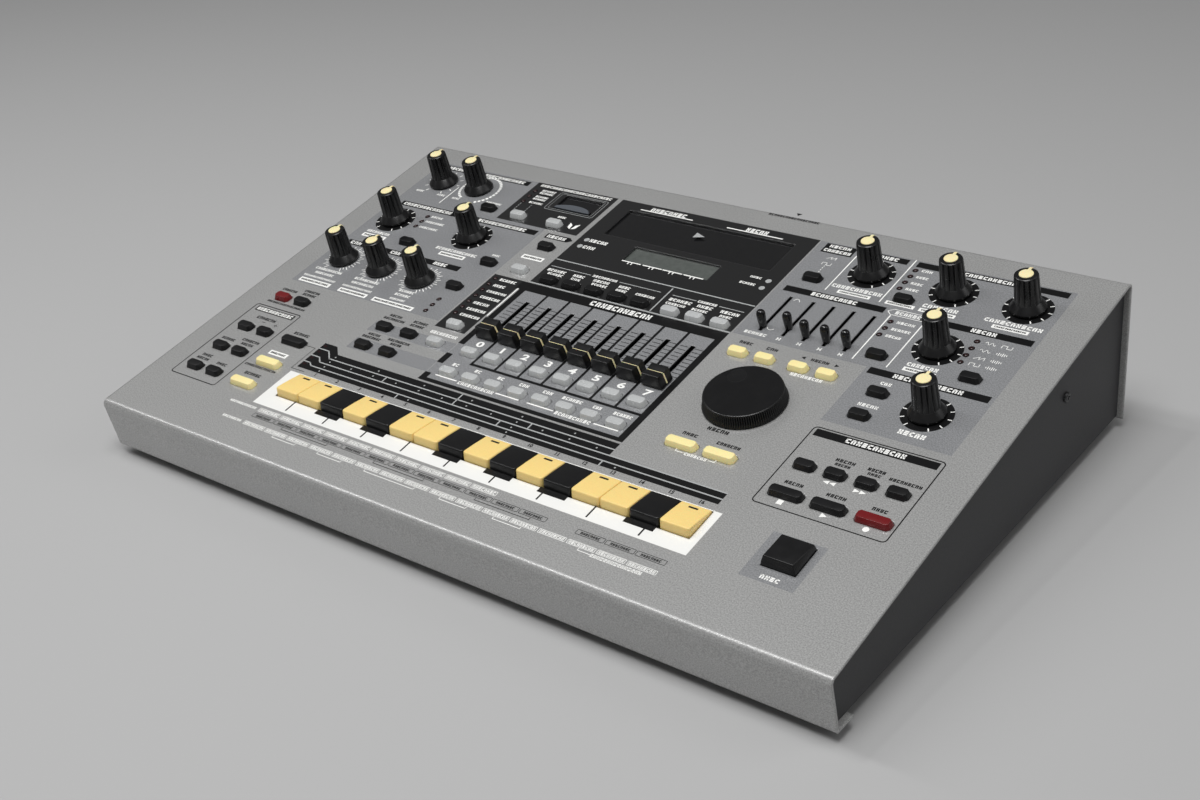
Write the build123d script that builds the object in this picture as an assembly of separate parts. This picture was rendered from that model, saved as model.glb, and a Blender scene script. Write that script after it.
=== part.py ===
from build123d import *
from math import atan2, cos, degrees, hypot, pi, radians, sin, sqrt, tan
import os

# A table-top drum machine: a bent steel top panel full of controls on a shallow steel tray.
# Millimetres, +X right, +Y to the rear, +Z up, origin under the middle of the case on the table.
# Controls are placed in panel coordinates: u to the right of the middle, v up the slope from the
# front edge, h above the panel's outer face.

# ---- case ----
WIDTH = 463.0
CONTROL_MARGIN = 28.3
DEPTH = 285.0
FRONT_TOP_Z = 34.8
REAR_TOP_Z = 83.1
BASE_Z = 6.0
LIP_LEAN = 3.9
LIP_RETURN = 16.0
SHEET = 1.2
BEND_RADIUS = 3.2
SIDE_INSET = 3.2
TRAY_FLANGE = 14.0
TRAY_SHEET = 1.2

# ---- clearances ----
SLIDE_GAP = 0.35
PRESS_GAP = 0.4
RUN_GAP = 0.3

# ---- rotary knobs ----
KNOB_PLACES = {
    "knob_volume": (-194.4, 250.8),
    "knob_low_boost": (-165.9, 251.6),
    "knob_quantize": (-195.4, 205.8),
    "knob_accent": (-133.2, 206.4),
    "knob_reverb": (-195.8, 160.2),
    "knob_delay": (-164.1, 159.5),
    "knob_effect": (-132.6, 159.3),
    "knob_pitch": (108.2, 251.5),
    "knob_cutoff": (155.2, 251.0),
    "knob_resonance": (195.1, 250.8),
    "knob_lfo_depth": (169.8, 205.8),
    "knob_glide_time": (188.4, 160.1),
}
KNOB_SKIRT_R = 9.1
KNOB_FOOT_R = 6.6
KNOB_TOP_R = 5.9
KNOB_WAIST_H = 5.4
KNOB_HEIGHT = 20.7
KNOB_CAP_R = 3.6
KNOB_CAP_H = 0.5
KNOB_FLUTES = 12
FLUTE_DEPTH = 0.8
FLUTE_WIDTH = 1.1
POINTER_WIDTH = 1.5
KNOB_LIFT = 0.8
KNOB_RIM = 1.3
KNOB_SIDES = 28
CAP_SIDES = 20
POINTER_FOLD = 2.0
POINTER_ROOT = 1.0
POINTER_PROUD = 0.3
POINTER_OVERHANG = 0.5
SHAFT_R = 3.0
SHAFT_SIDES = 8
SHAFT_HOLE_R = 4.0

# ---- value dial ----
DIAL_PLACE = (104.6, 135.5)
DIAL_RING_R = 21.2
DIAL_BODY_R = 20.3
DIAL_TOP_R = 19.6
DIAL_HEIGHT = 7.2
DIAL_TEETH = 60
TOOTH_DEPTH = 0.5
DIAL_RING_H = 0.9
DIAL_CROWN = 0.8
DIMPLE_R = 5.6
DIMPLE_DEPTH = 1.6
DIMPLE_PLACE = (-6.5, 10.5)

# ---- mixer faders ----
FADER_COUNT = 8
FADER_FIRST_U = -55.9
FADER_PITCH = 15.8
FADER_REST_V = 132.2
FADER_TRAVEL = 30.0
FADER_SLOT_WIDTH = 3.0
FADER_CAP_BASE_WIDTH = 13.0
FADER_CAP_TOP_WIDTH = 9.8
FADER_CAP_LENGTH = 9.8
FADER_CAP_H = 8.0
FADER_CAP_SADDLE = 0.7
FADER_CREST = 1.0
FADER_CREST_DROP = 0.2
FADER_SIDE_WALL = 1.8
FADER_END_WALL = 1.2
FADER_HOLLOW_H = 4.0
BLADE_BITE = 0.2
BLADE_LENGTH = 4.0
BLADE_THICK = 1.2

# ---- envelope sliders ----
SLIDER_NAMES = ("depth", "attack", "decay", "sustain", "release")
SLIDER_U = (79.2, 92.8, 104.6, 116.4, 128.1)
SLIDER_LIFT = (1.0, 4.0, 1.0, 1.0, 1.0)
SLIDER_LOW_V = 190.6
SLIDER_TRAVEL = 26.6
SLIDER_SLOT_WIDTH = 1.9
SLIDER_STEM_R = 2.2
SLIDER_STEM_H = 10.2
SLIDER_DOME = 1.3
SLIDER_SIDES = 14
SLIDER_BLADE_THICK = 1.1

# ---- keys and pad ----
KEY_COUNT = 16
KEY_PITCH = 16.84
KEY_FIRST_U = -127.1
KEY_GAP = 0.4
KEY_FRONT_V = 44.7
KEY_REAR_V = 63.4
KEY_FRONT_H = 4.4
KEY_REAR_H = 1.0
KEY_FACE_LEAN = 1.2
KEY_ROOT_H = -5.0
KEY_PRESS_ANGLE = 3.5
KEY_SWITCH_SETBACK = 14.0
KEY_RAIL_DEPTH = 1.6
KEY_EDGE = 0.8
PAD_PLACE = (179.9, 52.8)
PAD_SIZE = (17.0, 17.6)
PAD_BEVEL = 1.45
PAD_SHOULDER_H = 1.0
PAD_H = 5.2
PAD_TRAVEL = 1.2

# ---- push buttons: each run is its first cap's place, how many, their size and pitch ----
BUTTON_PITCH = 15.8
BUTTON_SIZE = (10.6, 5.9)
WIDE_BUTTON_SIZE = (17.2, 5.9)
BUTTON_H = 2.8
BUTTON_SHOULDER_H = 0.4
BUTTON_BEVEL = 0.8
BUTTON_CORNER = 1.5
BUTTON_ROOT_H = -3.2
BUTTON_TRAVEL = 0.7
SQUARE_PITCH = 18.5
WIDE_PITCH = 21.7
SINGLE_COUNT = 1
PAIR_COUNT = 2
BANK_COUNT = 3
TRANSPORT_COUNT = 4
PATTERN_COUNT = 5
BUTTON_RUNS = {
    "buttons_black_left": (
        (-187.4, 115.7, SINGLE_COUNT, BUTTON_SIZE, BUTTON_PITCH),
        (-202.8, 84.9, PAIR_COUNT, BUTTON_SIZE, BUTTON_PITCH),
        (-202.9, 65.2, PAIR_COUNT, BUTTON_SIZE, BUTTON_PITCH),
        (-203.2, 45.8, PAIR_COUNT, BUTTON_SIZE, BUTTON_PITCH),
        (-162.1, 84.5, SINGLE_COUNT, WIDE_BUTTON_SIZE, BUTTON_PITCH),
        (-169.2, 188.1, SINGLE_COUNT, BUTTON_SIZE, BUTTON_PITCH),
        (-144.3, 235.6, SINGLE_COUNT, BUTTON_SIZE, BUTTON_PITCH),
        (-104.4, 188.1, SINGLE_COUNT, BUTTON_SIZE, BUTTON_PITCH),
        (-108.1, 161.7, SINGLE_COUNT, BUTTON_SIZE, BUTTON_PITCH),
        (-81.2, 212.8, SINGLE_COUNT, BUTTON_SIZE, BUTTON_PITCH),
        (-120.1, 115.4, PAIR_COUNT, BUTTON_SIZE, SQUARE_PITCH),
        (-120.1, 97.7, PAIR_COUNT, BUTTON_SIZE, SQUARE_PITCH),
        (-58.0, 185.9, PATTERN_COUNT, BUTTON_SIZE, BUTTON_PITCH),
    ),
    "buttons_black_right": (
        (80.9, 237.7, SINGLE_COUNT, BUTTON_SIZE, BUTTON_PITCH),
        (134.8, 236.5, SINGLE_COUNT, BUTTON_SIZE, BUTTON_PITCH),
        (144.8, 191.0, SINGLE_COUNT, BUTTON_SIZE, BUTTON_PITCH),
        (194.4, 190.8, SINGLE_COUNT, BUTTON_SIZE, BUTTON_PITCH),
        (159.9, 165.1, SINGLE_COUNT, BUTTON_SIZE, BUTTON_PITCH),
        (160.0, 147.4, SINGLE_COUNT, BUTTON_SIZE, BUTTON_PITCH),
        (155.5, 106.3, TRANSPORT_COUNT, BUTTON_SIZE, BUTTON_PITCH),
        (157.9, 86.4, PAIR_COUNT, WIDE_BUTTON_SIZE, WIDE_PITCH),
    ),
    "buttons_cream": (
        (-161.4, 64.0, SINGLE_COUNT, WIDE_BUTTON_SIZE, BUTTON_PITCH),
        (-162.1, 45.0, SINGLE_COUNT, WIDE_BUTTON_SIZE, BUTTON_PITCH),
        (79.3, 167.9, PAIR_COUNT, BUTTON_SIZE, BUTTON_PITCH),
        (114.4, 168.1, PAIR_COUNT, BUTTON_SIZE, BUTTON_PITCH),
        (93.9, 96.7, PAIR_COUNT, WIDE_BUTTON_SIZE, WIDE_PITCH),
    ),
    "buttons_red": (
        (-202.9, 115.3, SINGLE_COUNT, BUTTON_SIZE, BUTTON_PITCH),
        (201.8, 86.7, SINGLE_COUNT, WIDE_BUTTON_SIZE, BUTTON_PITCH),
    ),
    "buttons_clear_lower": (
        (-56.0, 114.8, FADER_COUNT, BUTTON_SIZE, BUTTON_PITCH),
        (-55.9, 96.7, FADER_COUNT, BUTTON_SIZE, BUTTON_PITCH),
        (-81.6, 115.2, SINGLE_COUNT, BUTTON_SIZE, BUTTON_PITCH),
    ),
    "buttons_clear_upper": (
        (25.4, 185.0, BANK_COUNT, BUTTON_SIZE, BUTTON_PITCH),
        (-81.2, 188.3, SINGLE_COUNT, BUTTON_SIZE, BUTTON_PITCH),
        (-120.4, 235.0, SINGLE_COUNT, BUTTON_SIZE, BUTTON_PITCH),
        (-92.4, 234.6, SINGLE_COUNT, BUTTON_SIZE, BUTTON_PITCH),
        (-81.7, 132.0, SINGLE_COUNT, BUTTON_SIZE, BUTTON_PITCH),
    ),
}

# ---- displays and beam window ----
LCD_BOX = (-30.1, 27.5, 217.0, 230.9)
LED_WINDOW_BOX = (-57.0, 55.0, 236.5, 262.5)
BEAM_BOX = (-105.5, -77.6, 249.8, 263.9)
BEAM_LENS_R = 30.0
BEAM_LENS_RISE = 5.6
BEAM_LENS_H = 1.5
BEAM_LENS_GAP = 0.6
WINDOW_THICK = 1.5
WINDOW_MARGIN = 3.0

# ---- inside ----
BOARD_H = -13.0
BOARD_THICK = 1.6
BOARD_END_GAP = 12.0
BOARD_SIDE_GAP = 4.0
POT_SIZE = (12.0, 12.0, 7.0)
POT_BUSH_R = 4.4
POT_WELL = 2.0
SLIDE_POT_WIDTH = 9.0
SLIDE_POT_H = 7.0
SLIDE_POT_END = 5.0
BLADE_DIP = 4.0
SWITCH_SIZE = 4.4
MAIN_BOARD_SIZE = (360.0, 120.0, 1.6)
MAIN_BOARD_Y = 55.0
BOARD_PARTS = (
    (-120.0, 10.0, 52.0, 44.0, 24.0),
    (-60.0, 20.0, 40.0, 6.0, 18.0),
    (20.0, 0.0, 28.0, 28.0, 3.0),
    (70.0, 0.0, 28.0, 28.0, 3.0),
    (120.0, 0.0, 28.0, 28.0, 3.0),
)
STANDOFF_H = 5.0
STANDOFF_R = 3.5
STANDOFF_INSET = 8.0

# ---- feet, screws and rear panel ----
FOOT_R = 10.5
FOOT_INSET = (32.0, 30.0)
SCREW_R = 2.6
SCREW_HEAD_H = 1.6
SCREW_HEAD_DOME = 0.6
SCREW_SHANK_R = 1.4
SCREW_SHANK = 5.0
SCREW_SIDES = 12
SIDE_SCREW_Y = 76.0
SIDE_SCREW_Z = 51.0
TAB_WIDTH = 16.0
TAB_THICK = 1.6
TAB_DROP = 6.0
REAR_SCREW_X = (-216.0, -110.0, 152.0, 216.0)
REAR_SCREW_Z = 14.0
FRONT_SCREW_X = (-200.0, -70.0, 70.0, 200.0)
FRONT_SCREW_INSET = 12.0
SOCKET_Z = 34.0
JACK_X = (-20.0, 12.0, 44.0, 76.0, 108.0)
JACK_BODY = (15.0, 24.0, 14.0)
JACK_FACE_R = 5.8
JACK_BORE_R = 3.2
JACK_DEPTH = 20.0
DIN_X = (-92.0, -62.0)
DIN_BODY = (20.0, 12.0, 20.0)
DIN_FACE_R = 7.6
DIN_WELL_R = 6.6
DIN_DEPTH = 7.0
INLET_X = -184.0
INLET_SIZE = (27.0, 19.6)
INLET_DEPTH = 17.0
INLET_WALL = 2.5
INLET_FLANGE = 4.0
INLET_BLADES = ((-7.0, -1.5), (0.0, 2.5), (7.0, -1.5))
BLADE_REACH = 12.0
ROCKER_X = -142.0
ROCKER_SIZE = (12.6, 19.0)
ROCKER_ANGLE = 10.0
ROCKER_THICK = 5.0
ROCKER_RELIEF = 0.8
ROCKER_PIVOT_DEPTH = 3.4
ROCKER_WELL = 5.9
HOUSING_WALL = 1.5
HOUSING_DEPTH = 16.0
CARD_X = 41.0
CARD_Z = 56.0
CARD_SLOT = (24.0, 4.6)
CARD_DEPTH = 30.0
CARD_WALL = 2.0

FLOOR_Z = BASE_Z + SHEET
LAYOUT_REACH = max(abs(run[0]) for runs in BUTTON_RUNS.values() for run in runs)
SLOPE = atan2(REAR_TOP_Z - FRONT_TOP_Z, DEPTH)
PANEL_NORMAL = (0, -sin(SLOPE), cos(SLOPE))
PANEL = Plane(origin=(0, -DEPTH / 2, FRONT_TOP_Z), x_dir=(1, 0, 0), z_dir=PANEL_NORMAL)
PANEL_LENGTH = hypot(DEPTH, REAR_TOP_Z - FRONT_TOP_Z)


def on_panel(shape, u=0.0, v=0.0, h=0.0):
    """Carry a shape from panel coordinates into the part's frame."""
    return PANEL.location * Pos(u, v, h) * shape


def group_on_panel(pieces, u, v):
    """Carry several separate solids of one node onto the panel."""
    return Compound(children=[on_panel(piece, u, v) for piece in pieces])


def block(x0, x1, y0, y1, z0, z1):
    """A box between two corners."""
    middle = Pos((x0 + x1) / 2, (y0 + y1) / 2, (z0 + z1) / 2)
    return middle * Box(x1 - x0, y1 - y0, z1 - z0)


def across(u):
    """A place or a spacing of the layout, spread so that the margin at the sides is kept."""
    return u * (WIDTH / 2 - CONTROL_MARGIN) / LAYOUT_REACH


def spread(place):
    """A control's place on the panel: its u goes with the width."""
    u, v = place
    return across(u), v


def knob_places():
    return {name: spread(place) for name, place in KNOB_PLACES.items()}


def rotary_places():
    """Where a shaft comes through the panel."""
    return list(knob_places().values()) + [spread(DIAL_PLACE)]


def window_boxes():
    """The three windows of the panel: liquid-crystal, smoked LED window, beam lens."""
    boxes = (LCD_BOX, LED_WINDOW_BOX, BEAM_BOX)
    return [(across(u0), across(u1), v0, v1) for u0, u1, v0, v1 in boxes]


def button_banks():
    """Each bank of caps is one colour of moulding: its name and its caps as (u, v, size)."""
    banks = {}
    for name, runs in BUTTON_RUNS.items():
        places = []
        for u, v, count, size, pitch in runs:
            places += [(across(u + index * pitch), v, size) for index in range(count)]
        banks[name] = places
    return banks


def fader_u(index):
    return across(FADER_FIRST_U + index * FADER_PITCH)


def key_u(index):
    return across(KEY_FIRST_U + index * KEY_PITCH)


def slot_reach(rest, travel, blade):
    """Both ends of a slot in which a blade of this length travels from rest."""
    return rest - blade / 2 - SLIDE_GAP, rest + travel + blade / 2 + SLIDE_GAP


# ---------------------------------------------------------------- case


def wedge_section(inset, floor_z, bend):
    """Side outline of the case, moved inwards by inset, level at floor_z, bends rounded."""
    lean = LIP_LEAN / (FRONT_TOP_Z - BASE_Z)
    stretch = sqrt(1 + lean * lean)
    rise = tan(SLOPE)

    def front_y(z):
        return -DEPTH / 2 + (FRONT_TOP_Z - z) * lean + inset * stretch

    corner_z = FRONT_TOP_Z + inset * (stretch * rise - 1 / cos(SLOPE)) / (1 + lean * rise)
    rear_y = DEPTH / 2 - inset
    rear_z = FRONT_TOP_Z + (rear_y + DEPTH / 2) * rise - inset / cos(SLOPE)
    points = [
        (front_y(floor_z), floor_z),
        (front_y(corner_z), corner_z),
        (rear_y, rear_z),
        (rear_y, floor_z),
    ]
    face = Plane.YZ * Polygon(*points, align=None)
    bends = face.vertices().sort_by(Axis.Z)[2:4]
    return fillet(bends, bend) if bend > 0 else face


def wedge(inset, floor_z, bend, width):
    """The wedge section drawn out to a width, centred on the middle plane."""
    return extrude(wedge_section(inset, floor_z, bend), amount=width / 2, both=True)


def chamfered_rectangle(width, length, corner):
    """A rectangle with its four corners cut off."""
    x = width / 2
    y = length / 2
    c = corner
    return Polygon(
        (-x + c, -y), (x - c, -y), (x, -y + c), (x, y - c),
        (x - c, y), (-x + c, y), (-x, y - c), (-x, -y + c),
        align=None,
    )


def panel_cutters():
    """Everything that is punched out of the sloping face, as solids in panel coordinates."""
    low = -SHEET - 1.0
    deep = SHEET + 2.0
    cutters = []
    shaft_hole = tapered(ring_of(SHAFT_HOLE_R, SHAFT_SIDES), low, low + deep, 0.0)
    for u, v in rotary_places():
        cutters.append(Pos(u, v, 0) * shaft_hole)
    front, rear = slot_reach(FADER_REST_V, FADER_TRAVEL, BLADE_LENGTH)
    half = FADER_SLOT_WIDTH / 2
    for index in range(FADER_COUNT):
        middle = fader_u(index)
        cutters.append(block(middle - half, middle + half, front, rear, low, low + deep))
    front, rear = slot_reach(SLIDER_LOW_V, SLIDER_TRAVEL, BLADE_LENGTH)
    half = SLIDER_SLOT_WIDTH / 2
    for middle in map(across, SLIDER_U):
        cutters.append(block(middle - half, middle + half, front, rear, low, low + deep))
    for places in button_banks().values():
        for u, v, (width, length) in places:
            outline = chamfered_rectangle(
                width + 2 * PRESS_GAP, length + 2 * PRESS_GAP, BUTTON_CORNER
            )
            cutters.append(Pos(u, v, 0) * tapered(outline, low, low + deep, 0.0))
    side = across(KEY_PITCH) / 2 - KEY_GAP / 2 + PRESS_GAP
    cutters.append(
        block(
            key_u(0) - side, key_u(KEY_COUNT - 1) + side,
            KEY_FRONT_V - PRESS_GAP, KEY_REAR_V + PRESS_GAP, low, low + deep,
        )
    )
    u, v = spread(PAD_PLACE)
    cutters.append(
        Pos(u, v, low + deep / 2)
        * Box(PAD_SIZE[0] + 2 * PRESS_GAP, PAD_SIZE[1] + 2 * PRESS_GAP, deep)
    )
    for box in window_boxes():
        cutters.append(block(*box, low, low + deep))
    return cutters


def rear_cutters():
    """The cut-outs of the rear flange."""
    inner = DEPTH / 2 - SHEET - 1.0
    outer = DEPTH / 2 + 1.0
    middle = (inner + outer) / 2
    deep = outer - inner
    cutters = []
    jack_hole = Rot(90, 0, 0) * Cylinder(JACK_FACE_R, deep)
    cutters += [Pos(across(x), middle, SOCKET_Z) * jack_hole for x in JACK_X]
    din_hole = Rot(90, 0, 0) * Cylinder(DIN_FACE_R, deep)
    cutters += [Pos(across(x), middle, SOCKET_Z) * din_hole for x in DIN_X]
    width, height = INLET_SIZE
    cutters.append(Pos(across(INLET_X), middle, SOCKET_Z) * Box(width, deep, height))
    width, height = ROCKER_SIZE
    rocker_hole = Box(width + 2 * RUN_GAP, deep, height + 2 * RUN_GAP)
    cutters.append(Pos(across(ROCKER_X), middle, SOCKET_Z) * rocker_hole)
    width, height = CARD_SLOT
    cutters.append(Pos(across(CARD_X), middle, CARD_Z) * Box(width, deep, height))
    return cutters


def top_panel():
    """The bent sheet: front lip, sloping face with every cut-out, rear flange."""
    outer = wedge(0.0, BASE_Z, BEND_RADIUS, WIDTH)
    inner = wedge(SHEET, FLOOR_Z, BEND_RADIUS - SHEET, WIDTH + 2.0)
    mouth = block(
        -WIDTH / 2 - 1.0, WIDTH / 2 + 1.0, LIP_RETURN - DEPTH / 2, DEPTH / 2 - SHEET,
        BASE_Z - 1.0, FLOOR_Z + 1.0,
    )
    tabs = [side_tab(side) for side in (-1, 1)]
    holes = [fixing_hole(*place) for place in screw_places()]
    sheet = outer - inner - mouth + tabs - holes
    face_cutters = [on_panel(cutter) for cutter in panel_cutters()]
    return sheet - (face_cutters + rear_cutters())


def bottom_chassis():
    """The tray: floor, two wedge-shaped side walls, low front and rear flanges, standoffs."""
    width = WIDTH - 2 * SIDE_INSET
    inner_width = width - 2 * TRAY_SHEET
    bend = BEND_RADIUS - SHEET
    tray = wedge(SHEET, FLOOR_Z, bend, width)
    floor = FLOOR_Z + TRAY_SHEET
    hollow = wedge(SHEET + TRAY_SHEET, floor, 0.0, inner_width)
    open_top = block(
        -inner_width / 2, inner_width / 2, -DEPTH / 2, DEPTH / 2,
        FLOOR_Z + TRAY_FLANGE, REAR_TOP_Z + 10.0,
    )
    holes = [fixing_hole(*place) for place in screw_places()]
    tray = tray - hollow - open_top - holes
    post = tapered(ring_of(STANDOFF_R, 6), floor, floor + STANDOFF_H, 0.0)
    return tray + [Pos(x, y, 0) * post for x, y in main_board_posts()]


def main_board_posts():
    """Where the main board is held above the floor."""
    reach_x = MAIN_BOARD_SIZE[0] / 2 - STANDOFF_INSET
    reach_y = MAIN_BOARD_SIZE[1] / 2 - STANDOFF_INSET
    return [(x, MAIN_BOARD_Y + y) for x in (-reach_x, reach_x) for y in (-reach_y, reach_y)]


def side_tab(side):
    """A tab under the sloping face that the side screw of the tray goes into."""
    wall = side * (WIDTH / 2 - SIDE_INSET - TRAY_SHEET)
    reach = wall - side * TAB_THICK
    x0, x1 = sorted((wall, reach))
    y0 = SIDE_SCREW_Y - TAB_WIDTH / 2
    plate = block(x0, x1, y0, y0 + TAB_WIDTH, SIDE_SCREW_Z - TAB_DROP, REAR_TOP_Z)
    return plate & wedge(SHEET / 2, BASE_Z, 0.0, WIDTH)


def screw_places():
    """Every case screw: a point on the outer face and the turn that points its head outwards."""
    side_x = WIDTH / 2 - SIDE_INSET
    places = [
        (side_x, SIDE_SCREW_Y, SIDE_SCREW_Z, (0, 90, 0)),
        (-side_x, SIDE_SCREW_Y, SIDE_SCREW_Z, (0, -90, 0)),
    ]
    for x in map(across, REAR_SCREW_X):
        places.append((x, DEPTH / 2, REAR_SCREW_Z, (-90, 0, 0)))
    for x in map(across, FRONT_SCREW_X):
        places.append((x, -DEPTH / 2 + FRONT_SCREW_INSET, BASE_Z, (180, 0, 0)))
    return places


def fixing_hole(x, y, z, turn):
    """The clearance hole of one screw through the sheets behind its head."""
    hole = tapered(ring_of(SCREW_SHANK_R, 6), -SCREW_SHANK - 0.5, SCREW_SHANK, 0.0)
    return Pos(x, y, z) * Rot(*turn) * hole


def case_screws():
    """The pan-head screws of the case, at the sides, along the rear and under the front lip."""
    one_screw = screw()
    return Compound(
        children=[Pos(x, y, z) * Rot(*turn) * one_screw for x, y, z, turn in screw_places()]
    )


def rubber_feet():
    """Four round feet under the tray."""
    feet = []
    foot = tapered(ring_of(FOOT_R, KNOB_SIDES), 0.0, FLOOR_Z, 0.0)
    reach_x = WIDTH / 2 - FOOT_INSET[0]
    reach_y = DEPTH / 2 - FOOT_INSET[1]
    for x in (-reach_x, reach_x):
        for y in (-reach_y, reach_y):
            feet.append(Pos(x, y, 0) * foot)
    return Compound(children=feet)


# ---------------------------------------------------------------- knobs and dial


def ring_of(radius, sides):
    """A many-sided outline that stands for a small circle."""
    return RegularPolygon(radius, sides)


def tapered(outline, low, high, shrink):
    """An outline raised from low to high, its sides drawn in by shrink at the top."""
    slant = degrees(atan2(shrink, high - low))
    return Pos(0, 0, low) * extrude(outline, amount=high - low, taper=slant)


def grip_grooves():
    """The narrow grooves down the sides of a knob's grip, along its taper."""
    low = KNOB_WAIST_H - 0.5
    lean = degrees(atan2(KNOB_FOOT_R - KNOB_TOP_R, KNOB_HEIGHT - KNOB_WAIST_H))
    middle_r = (KNOB_FOOT_R + KNOB_TOP_R) / 2
    middle_h = (KNOB_WAIST_H + KNOB_HEIGHT) / 2
    groove = Box(2 * FLUTE_DEPTH, FLUTE_WIDTH, 2 * (KNOB_HEIGHT - low))
    groove = Pos(middle_r, 0, middle_h) * Rot(0, -lean, 0) * groove
    groove = groove & block(0, 2 * KNOB_SKIRT_R, -FLUTE_WIDTH, FLUTE_WIDTH, KNOB_WAIST_H, top_of_knob())
    return [Rot(0, 0, (index + 0.5) * 360.0 / KNOB_FLUTES) * groove for index in range(KNOB_FLUTES)]


def top_of_knob():
    return KNOB_HEIGHT + KNOB_CAP_H


def knob():
    """Skirt, fluted grip with its shaft, and the cream cap that carries the pointer."""
    rim_h = KNOB_LIFT + KNOB_RIM
    rim = tapered(ring_of(KNOB_SKIRT_R, KNOB_SIDES), KNOB_LIFT, rim_h, 0.0)
    skirt = tapered(
        ring_of(KNOB_SKIRT_R, KNOB_SIDES), rim_h, KNOB_WAIST_H, KNOB_SKIRT_R - KNOB_FOOT_R
    )
    grip = tapered(
        ring_of(KNOB_FOOT_R, 2 * KNOB_FLUTES), KNOB_WAIST_H, KNOB_HEIGHT,
        KNOB_FOOT_R - KNOB_TOP_R,
    )
    grip = grip - grip_grooves()
    shaft_low = BOARD_H + POT_SIZE[2] - POT_WELL + RUN_GAP
    shaft = tapered(ring_of(SHAFT_R, SHAFT_SIDES), shaft_low, KNOB_LIFT, 0.0)
    top = top_of_knob()
    cap = tapered(ring_of(KNOB_CAP_R, CAP_SIDES), KNOB_HEIGHT, top, 0.0)
    half = POINTER_WIDTH / 2
    pointer = block(
        -half, half, KNOB_CAP_R - POINTER_ROOT, KNOB_TOP_R + POINTER_OVERHANG,
        KNOB_HEIGHT - POINTER_FOLD, top + POINTER_PROUD,
    )
    return [rim + skirt + grip + shaft - pointer, cap + pointer]


def toothed_outline(radius, teeth, depth):
    """A finely knurled ring."""
    points = []
    step = 2 * pi / teeth
    for index in range(teeth):
        for share, r in ((0.0, radius), (0.5, radius - depth)):
            angle = (index + share) * step
            points.append((r * cos(angle), r * sin(angle)))
    return Polygon(*points, align=None)


def value_dial():
    """The large endless dial: base ring, knurled wall, flat top with a finger dimple, shaft."""
    ring_top = KNOB_LIFT + DIAL_RING_H
    ring = tapered(ring_of(DIAL_RING_R, DIAL_TEETH), KNOB_LIFT, ring_top, 0.0)
    outline = toothed_outline(DIAL_BODY_R, DIAL_TEETH, TOOTH_DEPTH)
    wall = tapered(outline, ring_top, DIAL_HEIGHT - DIAL_CROWN, 0.0)
    crown = tapered(
        ring_of(DIAL_TOP_R - TOOTH_DEPTH, DIAL_TEETH), DIAL_HEIGHT - DIAL_CROWN, DIAL_HEIGHT,
        DIAL_CROWN,
    )
    bowl = tapered(ring_of(DIMPLE_R, SLIDER_SIDES), 0.0, DIMPLE_DEPTH, DIMPLE_R / 2)
    dimple = Pos(*DIMPLE_PLACE, DIAL_HEIGHT) * Rot(180, 0, 0) * bowl
    shaft_low = BOARD_H + POT_SIZE[2] - POT_WELL + RUN_GAP
    shaft = tapered(ring_of(SHAFT_R, SHAFT_SIDES), shaft_low, KNOB_LIFT, 0.0)
    return [ring + wall + crown + shaft - dimple]


# ---------------------------------------------------------------- faders, sliders, keys, buttons


def fader():
    """A wide fader cap, saddled across the middle, on its thin blade."""
    half = FADER_CAP_LENGTH / 2
    saddle = FADER_CAP_H - FADER_CAP_SADDLE
    crest = half - FADER_CREST
    shoulder = FADER_CAP_H - FADER_CREST_DROP
    side = Polygon(
        (-half, KNOB_LIFT), (-half, shoulder), (-crest, FADER_CAP_H), (0, saddle),
        (crest, FADER_CAP_H), (half, shoulder), (half, KNOB_LIFT), align=None,
    )
    bar = extrude(Plane.YZ * side, amount=FADER_CAP_BASE_WIDTH / 2, both=True)
    base = FADER_CAP_BASE_WIDTH / 2
    top = FADER_CAP_TOP_WIDTH / 2
    front = Polygon(
        (-base, KNOB_LIFT), (base, KNOB_LIFT), (top, FADER_CAP_H), (-top, FADER_CAP_H), align=None
    )
    cap = bar & extrude(Plane.XZ * front, amount=FADER_CAP_LENGTH, both=True)
    inner = base - FADER_SIDE_WALL
    end = half - FADER_END_WALL
    ceiling = KNOB_LIFT + FADER_HOLLOW_H
    hollow = block(-inner, inner, -end, end, KNOB_LIFT, ceiling)
    blade_low = BOARD_H + SLIDE_POT_H - BLADE_DIP
    blade = block(
        -BLADE_THICK / 2, BLADE_THICK / 2, -BLADE_LENGTH / 2, BLADE_LENGTH / 2,
        blade_low, ceiling + BLADE_BITE,
    )
    return cap - hollow + blade


def slider():
    """A round stem with a domed top on a thin blade."""
    shoulder = SLIDER_STEM_H - SLIDER_DOME
    stem = tapered(ring_of(SLIDER_STEM_R, SLIDER_SIDES), KNOB_LIFT, shoulder, 0.0)
    dome = tapered(
        ring_of(SLIDER_STEM_R, SLIDER_SIDES), shoulder, SLIDER_STEM_H, SLIDER_STEM_R * 0.55
    )
    blade_low = BOARD_H + SLIDE_POT_H - BLADE_DIP
    half = SLIDER_BLADE_THICK / 2
    blade = block(-half, half, -BLADE_LENGTH / 2, BLADE_LENGTH / 2, blade_low, KNOB_LIFT)
    return stem + dome + blade


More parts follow.
